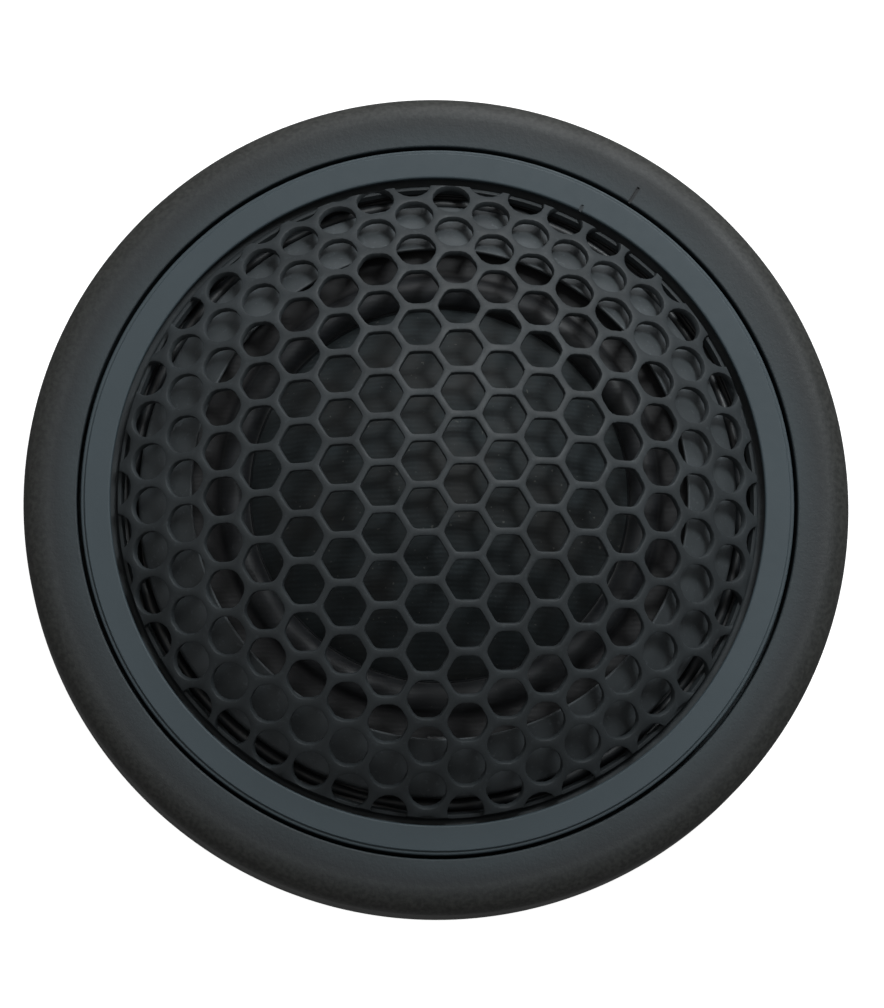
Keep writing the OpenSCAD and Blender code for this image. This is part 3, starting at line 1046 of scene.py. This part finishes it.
@dataclass
class PanelCup:
    """The fixed cup: flange, barrel, floor with cable slot, brass insert and foam seal."""

    flange_r: float = 27.99
    flange_h: float = 5.5
    flange_round: float = 3.1
    barrel_r: float = 24.8
    bottom: float = -13.0
    floor_top: float = -11.0
    bore_r: float = 23.0
    ledge_z: float = 3.0
    pocket_r: float = 24.35
    boss_r: float = 5.2
    boss_top: float = -7.0
    insert_r: float = 3.0
    insert_low: float = -12.4
    insert_high: float = -7.4
    strap_width: float = 12.0
    slot_r: float = 16.5
    slot_width: float = 6.0
    slot_angle: float = 270.0
    slot_half_angle: float = 25.0
    lug_angles: tuple[float, ...] = (90.0, 210.0, 330.0)
    channel_r: float = 23.9
    channel_low: float = -0.9
    channel_high: float = 1.1
    channel_start: float = -13.5
    channel_end: float = 27.0
    entry_start: float = 13.5
    entry_end: float = 26.5
    seal_in: float = 25.4
    seal_out: float = 27.0
    seal_t: float = 0.6
    tick_angle: float = 57.7
    tick_width: float = 0.18
    tick_depth: float = 0.12
    tick_length: float = 1.25
    thread_core: float = 1.65
    thread_outer: float = 1.98
    thread_pitch: float = 0.7

    def shell_outline(self) -> list[Point]:
        """Section of the cup, from the boss's crown outwards and back under the floor."""
        return rounded([
            Corner(0, self.boss_top),
            Corner(self.boss_r, self.boss_top, 0.35),
            Corner(self.boss_r, self.floor_top, 0.5),
            Corner(self.bore_r, self.floor_top, 0.6),
            Corner(self.bore_r, self.ledge_z, 0.1),
            Corner(self.pocket_r, self.ledge_z, 0.08),
            Corner(self.pocket_r, self.flange_h, 0.12),
            Corner(self.flange_r, self.flange_h, self.flange_round),
            Corner(self.flange_r, 0, 0.3),
            Corner(self.seal_out, 0, 0.05),
            Corner(self.seal_out, self.seal_t, 0.05),
            Corner(self.seal_in, self.seal_t, 0.05),
            Corner(self.seal_in, 0, 0.05),
            Corner(self.barrel_r, 0, 0.12),
            Corner(self.barrel_r, self.bottom + 0.6, 0.2),
            Corner(self.barrel_r - 0.6, self.bottom, 0.2),
            Corner(self.insert_r, self.bottom, 0.1),
            Corner(self.insert_r, self.insert_high),
            Corner(0, self.insert_high),
        ], closed=False)

    def sector(
        self, r0: float, r1: float, z0: float, z1: float, start: float, end: float,
    ) -> bpy.types.Object:
        """A cutting solid: the part of a ring between two angles."""
        outline = [(c.r, c.z) for c in box(r0, r1, z0, z1)]
        steps = max(6, round((end - start) / 3))
        return swing(turned("sector", outline, steps=steps, angle=end - start), start)

    def shell(self) -> None:
        """The moulded cup with its slot, lug channels, strap recess, tick and pin marks."""
        cup = turned("cup_shell", self.shell_outline(), closed=False, steps=256)
        low, high = self.bottom - 0.5, self.floor_top + 0.5
        half = self.slot_width / 2
        tools = [self.sector(
            self.slot_r - half, self.slot_r + half, low, high,
            self.slot_angle - self.slot_half_angle, self.slot_angle + self.slot_half_angle,
        )]
        for side in (-1, 1):
            x, y = at(self.slot_r, self.slot_angle + side * self.slot_half_angle)
            tools.append(shift(ring("slot_end", 0, half, low, high, steps=48), x, y))
        for angle in self.lug_angles:
            tools.append(self.sector(
                self.bore_r - 0.5, self.channel_r, self.channel_low, self.channel_high,
                angle + self.channel_start, angle + self.channel_end,
            ))
            tools.append(self.sector(
                self.bore_r - 0.6, self.channel_r + 0.05, 0.1, self.ledge_z + 0.3,
                angle + self.entry_start, angle + self.entry_end,
            ))
        strap = self.strap_width / 2
        tools.append(block(
            "strap_recess", (-30, -strap, self.bottom - 1), (30, strap, self.insert_low),
        ))
        tools.append(swing(block(
            "tick", (self.pocket_r - 0.5, -self.tick_width / 2, self.flange_h - self.tick_depth),
            (self.pocket_r + self.tick_length, self.tick_width / 2, self.flange_h + 1),
        ), self.tick_angle))
        for angle in (35, 145, 215, 325):
            x, y = at(19.5, angle)
            tools.append(shift(
                ring("pin_mark", 0, 1.5, self.bottom - 1, self.bottom + 0.08, steps=48), x, y,
            ))
        work(cup, Fit.CUT, *tools)
        hand_over(cup, CUP_PLASTIC, Body.CUP, "mounting_cup")

    def insert(self) -> None:
        """The brass insert: knurled bands outside and the ridges of the thread inside."""
        turns = int((self.insert_high - self.insert_low) / self.thread_pitch)
        z0 = self.insert_low + 0.35
        bore: list[Point] = []
        for k in range(turns - 1):
            z = z0 + k * self.thread_pitch
            bore += [
                (self.thread_core, z), (self.thread_outer, z + 0.3 * self.thread_pitch),
                (self.thread_outer, z + 0.42 * self.thread_pitch),
                (self.thread_core, z + 0.72 * self.thread_pitch),
            ]
        outline = [(self.thread_core + 0.3, self.insert_low)] + bore + [
            (self.thread_core, self.insert_high - 0.02), (self.insert_r - 0.15, self.insert_high - 0.02),
            (self.insert_r - 0.02, self.insert_high - 0.2), (self.insert_r - 0.02, -9.3),
            (self.insert_r - 0.35, -9.5), (self.insert_r - 0.35, -10.3), (self.insert_r - 0.02, -10.5),
            (self.insert_r - 0.02, self.insert_low + 0.12), (self.insert_r - 0.14, self.insert_low),
        ]
        insert = turned("thread_bush", outline, steps=SMALL_STEPS)
        hand_over(insert, BRASS, Body.CUP, "thread_insert")

    def seal(self) -> None:
        """The foam ring that seals the flange on the panel."""
        seal = ring(
            "panel_seal", self.seal_in + 0.03, self.seal_out - 0.03, 0, self.seal_t - 0.02, 0.12,
        )
        hand_over(seal, SEAL_FOAM, Body.CUP, "panel_gasket")

    def build(self) -> None:
        """Build the cup's pieces."""
        self.shell()
        self.insert()
        self.seal()


# ---- The capsule's front ----


@dataclass
class BezelTrim:
    """The satin ring round the grille, with its soft gasket."""

    inner_r: float = 22.1
    outer_r: float = 24.1
    top: float = 5.7
    bottom: float = 3.15
    land_z: float = 4.6
    undercut: float = 0.65
    edge_round: float = 0.12
    step_width: float = 0.24
    step_depth: float = 0.16
    groove_in: float = 23.2
    groove_out: float = 23.8
    groove_top: float = 3.65
    tick_angle: float = 64.2
    tick_width: float = 0.16
    tick_depth: float = 0.1

    def build(self) -> None:
        """Turn the ring, cut its tick and lay the gasket."""
        inner = self.inner_r + self.undercut
        corners = [
            Corner(self.inner_r, self.top, 0.14),
            Corner(self.outer_r - self.step_width, self.top, self.edge_round),
            Corner(self.outer_r - self.step_width, self.top - self.step_depth),
            Corner(self.outer_r, self.top - self.step_depth, 0.1),
            Corner(self.outer_r, self.bottom, 0.1),
            Corner(self.groove_out, self.bottom),
            Corner(self.groove_out, self.groove_top),
            Corner(self.groove_in, self.groove_top),
            Corner(self.groove_in, self.bottom),
            Corner(inner, self.bottom, 0.1),
            Corner(inner, self.land_z),
            Corner(self.inner_r, self.top - 0.45, 0.1),
        ]
        trim = turned("bezel_trim", rounded(corners, True), steps=256)
        tick = swing(block(
            "tick", (self.inner_r - 0.3, -self.tick_width / 2, self.top - self.tick_depth),
            (self.inner_r + 0.5, self.tick_width / 2, self.top + 0.5),
        ), self.tick_angle)
        hand_over(work(trim, Fit.CUT, tick), BEZEL_SATIN, Body.CAPSULE, "bezel_ring")
        gasket = ring(
            "bezel_seal", self.groove_in + 0.02, self.groove_out - 0.02, self.bottom - 0.08,
            self.groove_top - 0.01, 0.1,
        )
        hand_over(gasket, DAMPING_FELT, Body.CAPSULE, "bezel_gasket")


@dataclass
class PerforatedGrille:
    """The pressed grille: hexagonal holes punched in a flat sheet that is then domed."""

    pitch: float = 2.96
    hole_across: float = 2.55
    lean: float = 1.37
    shift_x: float = 1.28
    shift_y: float = 2.49
    spread: float = 0.067
    opening_r: float = 22.1
    ball_r: float = 30.44
    crown_z: float = 14.7
    sheet_t: float = 0.5
    edge_round: float = 0.11
    trim_r: float = 21.6
    sheet_r: float = 25.2
    rim_in: float = 21.4
    rim_out: float = 22.68
    rim_low: float = 4.1
    rim_high: float = 4.6
    crown_roundness: float = 0.42
    rim_roundness: float = 1.35
    rim_shrink: float = 0.06

    def cell_centres(self) -> np.ndarray:
        """Centres of the cells of the flat sheet, before it leans."""
        step = self.pitch * math.sqrt(3) / 2
        reach = math.ceil(self.sheet_r / step) + 2
        return np.array([
            (self.shift_x + c * step, self.shift_y + (k + 0.5 * (c % 2)) * self.pitch)
            for c in range(-reach, reach + 1) for k in range(-reach, reach + 1)
        ])

    def one_cell(self) -> bpy.types.Object:
        """One cell of the sheet: a hexagon with three points a side and a hole inset in it."""
        deselect_all()
        bpy.ops.mesh.primitive_circle_add(
            vertices=6, radius=self.pitch / math.sqrt(3) * MM, fill_type="NGON",
            rotation=(0, 0, math.radians(30)),
        )
        cell = name_piece(bpy.context.active_object, "grille_sheet")
        settle(cell)
        with editing(cell, "FACE"):
            bpy.ops.mesh.select_all(action="SELECT")
            bpy.ops.mesh.subdivide(number_cuts=2, ngon=True)
            bpy.ops.mesh.inset(thickness=(self.pitch - self.hole_across) / 2 * MM)
            bpy.ops.mesh.delete(type="FACE")
        return cell

    def flat_sheet(self) -> bpy.types.Object:
        """The flat sheet: the cell repeated in staggered columns and welded."""
        sheet = self.one_cell()
        step = self.pitch * math.sqrt(3) / 2
        reach = math.ceil(self.sheet_r / step / 2) + 1
        rows = math.ceil(self.sheet_r / self.pitch) + 2
        with editing(sheet):
            bpy.ops.mesh.select_all(action="SELECT")
            bpy.ops.mesh.duplicate_move(
                TRANSFORM_OT_translate={"value": (step * MM, self.pitch / 2 * MM, 0)}
            )
        for offset, count in (
            ((0, self.pitch * MM, 0), 2 * rows + 1),
            ((2 * step * MM, 0, 0), 2 * reach + 1),
        ):
            repeat = sheet.modifiers.new("repeat", "ARRAY")
            repeat.use_relative_offset = False
            repeat.use_constant_offset = True
            repeat.constant_offset_displace = offset
            repeat.count = count
            apply_modifiers(sheet)
        shift(sheet, self.shift_x - 2 * reach * step, self.shift_y - rows * self.pitch)
        with editing(sheet):
            bpy.ops.mesh.select_all(action="SELECT")
            bpy.ops.mesh.remove_doubles(threshold=10 * WELD)
        with editing(sheet, "FACE"):
            pick_faces(sheet, lambda centre, _: centre.xy.length > self.sheet_r)
            bpy.ops.mesh.delete(type="FACE")
        return sheet

    def press(self, sheet: bpy.types.Object) -> None:
        """Round the holes, lean and spread the sheet, and press it into the dome."""
        points = np.array([v.co for v in sheet.data.vertices]) / MM
        flat = points[:, :2]
        centres = self.cell_centres()
        nearest = centres[np.argmin(np.linalg.norm(flat[:, None] - centres[None], axis=2), axis=1)]
        arm = flat - nearest
        reach = np.linalg.norm(arm, axis=1)
        angle = np.degrees(np.arctan2(arm[:, 1], arm[:, 0]))
        corner = np.round(angle / 60) * 60
        side = np.clip(np.round((angle - corner) / 20), -1, 1)
        apothem = self.hole_across / 2
        off_flat = np.abs((angle % 60) - 30)
        margin = 0.12 * (self.pitch - self.hole_across)
        on_hole = reach < apothem / np.cos(np.radians(off_flat)) + margin
        share = np.clip(np.linalg.norm(nearest, axis=1) / self.opening_r, 0, 1) ** 2
        roundness = np.minimum(
            self.crown_roundness + (self.rim_roundness - self.crown_roundness) * share, 1.0
        )
        turn = corner + side * (9 + 11 * share)
        to_corner = np.abs(turn - corner)
        hexagon = apothem / np.cos(np.radians(30 - to_corner))
        radius = (1 - roundness) * hexagon + roundness * apothem * 1.03
        radius *= 1 - self.rim_shrink * share
        hole = nearest + radius[:, None] * np.stack(
            [np.cos(np.radians(turn)), np.sin(np.radians(turn))], axis=1
        )
        flat = np.where(on_hole[:, None], hole, flat)
        lean = math.radians(self.lean)
        flat = flat @ np.array([[math.cos(lean), math.sin(lean)], [-math.sin(lean), math.cos(lean)]])
        ratio = np.linalg.norm(flat, axis=1) / self.opening_r
        flat = flat * (1 + self.spread * (1 - ratio ** 2))[:, None]
        far = np.minimum(np.linalg.norm(flat, axis=1), self.ball_r * 0.95)
        height = self.crown_z - self.ball_r + np.sqrt(self.ball_r ** 2 - far ** 2)
        done = np.column_stack([flat, height]) * MM
        sheet.data.vertices.foreach_set("co", done.astype(np.float32).ravel())
        sheet.data.update()

    def build(self) -> None:
        """Punch, press, thicken and trim the sheet, and add its rim."""
        sheet = self.flat_sheet()
        self.press(sheet)
        with editing(sheet):
            bpy.ops.mesh.select_all(action="SELECT")
            bpy.ops.mesh.normals_make_consistent(inside=False)
        top = max(sheet.data.polygons, key=lambda face: face.center.z)
        if top.normal.z < 0:
            with editing(sheet):
                bpy.ops.mesh.select_all(action="SELECT")
                bpy.ops.mesh.flip_normals()
        wall = sheet.modifiers.new("wall", "SOLIDIFY")
        wall.thickness = self.sheet_t * MM
        wall.offset = -1
        apply_modifiers(sheet)
        soften(sheet, self.edge_round, 2, 40)
        work(sheet, Fit.KEEP, ring("trimmer", 0, self.trim_r, 0, 30, steps=RING_STEPS))
        rim = turned("rim", rounded([
            Corner(self.rim_in, self.rim_low, 0.05),
            Corner(self.rim_in, self.rim_high, 0.05),
            Corner(self.trim_r - 0.42, 4.9),
            Corner(self.trim_r - 0.2, 5.25, 0.05),
            Corner(self.trim_r + 0.02, 5.15, 0.06),
            Corner(self.trim_r + 0.04, self.rim_high, 0.2),
            Corner(self.rim_out, self.rim_high, 0.08),
            Corner(self.rim_out, self.rim_low, 0.05),
        ], True))
        grille = merge("grille_dome", [sheet, rim])
        hand_over(grille, GRILLE_PAINT, Body.CAPSULE, "grille")


@dataclass
class CapsuleShell:
    """The capsule's housing, the conical front plate, the carrier ring and the sealant."""

    wall_out: float = 22.7
    wall_in: float = 21.2
    top: float = 4.1
    bottom: float = -5.4
    deck_top: float = 3.9
    deck_low: float = 2.4
    boss_in: float = 15.05
    boss_out: float = 17.25
    boss_top: float = 5.6
    boss_low: float = -1.9
    screw_r: float = 18.9
    screw_boss_r: float = 1.9
    pilot_r: float = 0.8
    lead_r: float = 17.87
    lead_hole_r: float = 0.6
    lug_out: float = 23.6
    lug_low: float = -0.7
    lug_high: float = 0.9
    lug_span: float = 12.0
    lug_angles: tuple[float, ...] = (90.0, 210.0, 330.0)
    lead_angles: tuple[float, ...] = (250.0, 290.0)
    plate_out: float = 20.2
    plate_in: float = 16.6
    plate_t: float = 0.6
    plate_edge_z: float = 5.3
    plate_crown_z: float = 8.5
    carrier_in: float = 13.35
    carrier_out: float = 17.2
    carrier_top: float = 7.1
    dab_r: float = 0.2
    dab_angle: float = 267.0
    dab_span: float = 5.5

    def housing(self) -> None:
        """The moulded housing with its lugs, screw bosses and lead holes."""
        corners = [
            Corner(self.boss_in, self.boss_low, 0.1),
            Corner(self.boss_in, self.boss_top, 0.1),
            Corner(self.boss_out, self.boss_top, 0.1),
            Corner(self.boss_out, self.deck_top, 0.25),
            Corner(self.wall_in, self.deck_top, 0.05),
            Corner(self.wall_in, self.top, 0.09),
            Corner(self.wall_out, self.top, 0.15),
            Corner(self.wall_out, self.bottom, 0.3),
            Corner(self.wall_in, self.bottom, 0.15),
            Corner(self.wall_in, self.deck_low, 0.4),
            Corner(self.boss_out, self.deck_low, 0.4),
            Corner(self.boss_out, self.boss_low, 0.1),
        ]
        housing = turned("capsule_body", rounded(corners, True))
        for angle in self.lug_angles:
            x, y = at(self.screw_r, angle)
            post = shift(ring(
                "post", 0, self.screw_boss_r, -4.0, self.deck_top - 0.2, steps=48,
            ), x, y)
            lug = swing(turned(
                "lug", rounded([
                    Corner(self.wall_out - 0.5, self.lug_low),
                    Corner(self.wall_out - 0.5, self.lug_high),
                    Corner(self.lug_out, self.lug_high, 0.2),
                    Corner(self.lug_out, self.lug_low, 0.2),
                ], True), steps=8, angle=self.lug_span,
            ), angle - self.lug_span / 2)
            work(housing, Fit.ADD, post, lug)
            work(housing, Fit.CUT, shift(ring("pilot", 0, self.pilot_r, -4.5, 1, steps=32), x, y))
        for angle in self.lead_angles:
            x, y = at(self.lead_r, angle)
            hole = shift(ring("lead_hole", 0, self.lead_hole_r, -4.0, 6.0, steps=32), x, y)
            work(housing, Fit.CUT, hole)
        hand_over(housing, HOUSING_PLASTIC, Body.CAPSULE, "capsule_housing")

    def plate(self) -> None:
        """The painted plate that closes the space between the housing and the surround."""
        corners = [
            Corner(self.plate_out - self.plate_t, self.deck_top, 0.1),
            Corner(self.plate_out - self.plate_t, self.plate_edge_z - 0.1, 0.25),
            Corner(self.plate_in, self.plate_crown_z - self.plate_t, 0.1),
            Corner(self.plate_in, self.plate_crown_z, 0.1),
            Corner(self.plate_out, self.plate_edge_z, 0.45),
            Corner(self.plate_out, self.deck_top, 0.1),
        ]
        # Its paint is brightened as painted light against the shade under the grille.
        hand_over(
            turned("front_cone", rounded(corners, True)), BRIGHTENED_PLATE_PAINT, Body.CAPSULE, "front_plate",
        )

    def carrier(self) -> None:
        """The ring that the surround is glued to."""
        carrier = ring(
            "surround_carrier", self.carrier_in, self.carrier_out, self.boss_top,
            self.carrier_top, 0.15,
        )
        hand_over(carrier, CARRIER_PLASTIC, Body.CAPSULE, "carrier_ring")

    def sealant(self) -> None:
        """The glossy bead that seals the plate's foot, uneven as it came out of the nozzle."""
        mid = self.plate_out + 0.42
        bead = turned("sealant_bead", arc((mid, self.deck_top + 0.12), 0.42, 0, 360, 14)[:-1])
        points = np.array([v.co for v in bead.data.vertices]) / MM
        angle = np.arctan2(points[:, 1], points[:, 0])
        swell = 1 + 0.16 * np.sin(5 * angle + 1) + 0.12 * np.sin(11 * angle)
        swell += 0.08 * np.sin(23 * angle + 2)
        away = np.linalg.norm(points[:, :2], axis=1) - mid
        radius = mid + away * swell
        low = self.deck_top + 0.12
        points[:, 2] = low + (points[:, 2] - low) * swell
        points[:, 0], points[:, 1] = radius * np.cos(angle), radius * np.sin(angle)
        bead.data.vertices.foreach_set("co", (points * MM).astype(np.float32).ravel())
        bead.data.update()
        hand_over(bead, GLOSS_SEALANT, Body.CAPSULE)

    def squeeze_out(self) -> None:
        """The dab of glue that was pressed out under the plate's inner edge."""
        low = self.plate_crown_z - self.plate_t - 0.05
        path = arc((self.plate_in - 0.02, low), self.dab_r, 0, 360, 12)[:-1]
        dab = swing(turned("plate_dab", path, steps=16, angle=self.dab_span), self.dab_angle)
        hand_over(dab, GLOSS_SEALANT, Body.CAPSULE)

    def build(self) -> None:
        """Build the shell's pieces."""
        self.housing()
        self.plate()
        self.carrier()
        self.sealant()
        self.squeeze_out()


# ---- The motor ----


@dataclass
class Motor:
    """Return cup, magnet, pole plate and the soft pads round them."""

    yoke_r: float = 15.0
    yoke_bore: float = 13.15
    yoke_low: float = -1.9
    yoke_floor: float = 0.6
    top: float = 5.6
    magnet_r: float = 11.0
    magnet_top: float = 3.6
    pole_r: float = 12.25
    felt_r: float = 11.0
    felt_top: float = 6.4
    pad_r: float = 12.0
    pad_low: float = -4.0

    def build(self) -> None:
        """Build the motor's pieces."""
        yoke = turned("return_cup", rounded([
            Corner(0, self.yoke_floor), Corner(self.yoke_bore, self.yoke_floor, 0.2),
            Corner(self.yoke_bore, self.top, 0.12), Corner(self.yoke_r, self.top, 0.12),
            Corner(self.yoke_r, self.yoke_low, 0.6), Corner(0, self.yoke_low),
        ], False), closed=False)
        hand_over(yoke, STEEL, Body.CAPSULE, "yoke_cup")
        magnet = ring("magnet_disc", 0, self.magnet_r, self.yoke_floor, self.magnet_top, 0.3)
        hand_over(magnet, NICKEL, Body.CAPSULE, "magnet")
        pole = ring("pole_disc", 0, self.pole_r, self.magnet_top, self.top, 0.15)
        hand_over(pole, STEEL, Body.CAPSULE, "pole_plate")
        felt = ring("felt_disc", 0, self.felt_r, self.top, self.felt_top, 0.25)
        hand_over(felt, DAMPING_FELT, Body.CAPSULE, "damping_felt")
        pad = ring("rear_cushion", 0, self.pad_r, self.pad_low, self.yoke_low, 0.4)
        hand_over(pad, SEAL_FOAM, Body.CAPSULE, "rear_pad")


# ---- The capsule's rear ----


@dataclass
class RearWorks:
    """Rear cover, screws, terminal board, blades, rivets and wires."""

    edge: float = 0.06

    def build(self) -> None:
        """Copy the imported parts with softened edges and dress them."""
        for node, name, finish, width in (
            ("rear_cover", "back_cover", HOUSING_PLASTIC, 0.12),
            ("cover_screws", "back_screws", STEEL, 0.05),
            ("terminal_board", "terminal_plate", BOARD, 0.08),
            ("terminal_positive", "blade_positive", TINNED, 0.07),
            ("terminal_negative", "blade_negative", TINNED, 0.07),
            ("terminal_rivets", "blade_rivets", BRASS, 0.12),
            ("solder_tags", "wire_tags", COPPER, 0.04),
        ):
            hand_over(copy_of_node(node, name, width), finish, Body.CAPSULE, node)


# ---- The diaphragm ----


@dataclass
class Diaphragm:
    """Woven dome, rolled surround, former and wound coil."""

    dome_edge_r: float = 12.7
    dome_edge_z: float = 7.2
    dome_rise: float = 5.6
    cloth_t: float = 0.25
    roll_mid_r: float = 13.83
    roll_r: float = 1.08
    surround_z: float = 7.13
    land_r: float = 16.8
    former_r: float = 12.6
    coil_low: float = 3.4
    coil_high: float = 5.9
    coil_out_r: float = 12.9
    wire_turns: int = 16
    glue_r: float = 0.14

    def joint(self) -> None:
        """The bead of glue where the dome, the surround and the former meet."""
        path = arc((self.dome_edge_r + 0.03, self.dome_edge_z), self.glue_r, 0, 360, 12)[:-1]
        hand_over(turned("joint_bead", path), JOINT_GLUE, Body.DIAPHRAGM)

    def dome(self) -> None:
        """The dome: a thin cap of woven cloth."""
        ball = (self.dome_edge_r ** 2 + self.dome_rise ** 2) / (2 * self.dome_rise)
        centre = (0.0, self.dome_edge_z + self.dome_rise - ball)
        edge = math.degrees(math.asin(self.dome_edge_r / ball))
        inner = ball - self.cloth_t
        inner_edge = math.degrees(math.acos((self.dome_edge_z - centre[1]) / inner))
        outline = arc(centre, ball, 90, 90 - edge, 40) + arc(centre, inner, 90 - inner_edge, 90, 32)
        outline = [(max(r, 0.0), z) for r, z in outline]
        hand_over(
            turned("woven_dome", outline, closed=False), DOME_CLOTH, Body.DIAPHRAGM, "dome",
        )

    def surround(self) -> None:
        """The surround: a half roll and a flat land, running from the carrier to the coil."""
        mid = (self.roll_mid_r, self.surround_z)
        inside = self.roll_r - self.cloth_t
        corner_r = self.roll_mid_r + math.sqrt(self.roll_r ** 2 - self.cloth_t ** 2)
        lift = math.degrees(math.asin(self.cloth_t / self.roll_r))
        top_z = self.surround_z + self.cloth_t
        outline = (
            arc(mid, self.roll_r, 180, lift + 12, 18)
            + [(corner_r + 0.12, top_z + 0.06), (corner_r + 0.35, top_z), (15.8, top_z)]
            + [(self.land_r - 0.08, top_z), (self.land_r, top_z - 0.08), (self.land_r, self.surround_z)]
            + arc(mid, inside, 0, 180, 16)
        )
        surround = turned("cloth_surround", outline)
        make_active(surround)
        bpy.ops.object.shade_smooth_by_angle(angle=SMOOTH_ANGLE)
        surround.data.materials.append(SURROUND_CLOTH.material())
        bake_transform(surround)
        points = np.array([v.co for v in surround.data.vertices]) / MM
        away = np.linalg.norm(points[:, :2], axis=1)
        fixed = self.roll_mid_r + self.roll_r
        free = self.roll_mid_r - self.roll_r
        share = np.clip((fixed - away) / (fixed - free), 0, 1)
        share = share * share * (3 - 2 * share)
        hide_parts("surround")
        log.info("%s: %d faces, %s", surround.name, len(surround.data.polygons), SURROUND_CLOTH.name)

    def coil(self) -> None:
        """The coil: round turns of enamelled wire in two layers, seen as scallops."""
        wire = (self.coil_high - self.coil_low) / self.wire_turns / 2
        outline = [(self.former_r + 0.01, self.coil_low)]
        for k in range(self.wire_turns):
            z = self.coil_low + (2 * k + 1) * wire
            outline += arc((self.coil_out_r - wire, z), wire, -75, 75, 4)
        outline += [(self.former_r + 0.01, self.coil_high)]
        hand_over(turned("wound_coil", outline, steps=128), COPPER, Body.DIAPHRAGM, "voice_coil")

    def build(self) -> None:
        """Build the diaphragm's pieces."""
        self.joint()
        self.dome()
        self.surround()
        self.coil()


def dress_packed_nodes() -> None:
    """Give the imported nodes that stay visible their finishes."""
    for node, finish in (("lead_wires", WIRE_SLEEVE), ("coil_former", FORMER_FILM)):
        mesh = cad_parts[node].data
        mesh.materials.clear()
        mesh.materials.append(finish.material())
        log.info("%s: packed node, %s", node, finish.name)


def main() -> None:
    """Build the studio and the tweeter in order."""
    logging.basicConfig(level=logging.INFO, format="%(name)s: %(message)s")
    Studio().build()
    for part in (
        PanelCup(), BezelTrim(), PerforatedGrille(), CapsuleShell(), Motor(), RearWorks(),
        Diaphragm(),
    ):
        log.info("building %s", type(part).__name__)
        part.build()
    dress_packed_nodes()


if __name__ == "__main__":
    main()
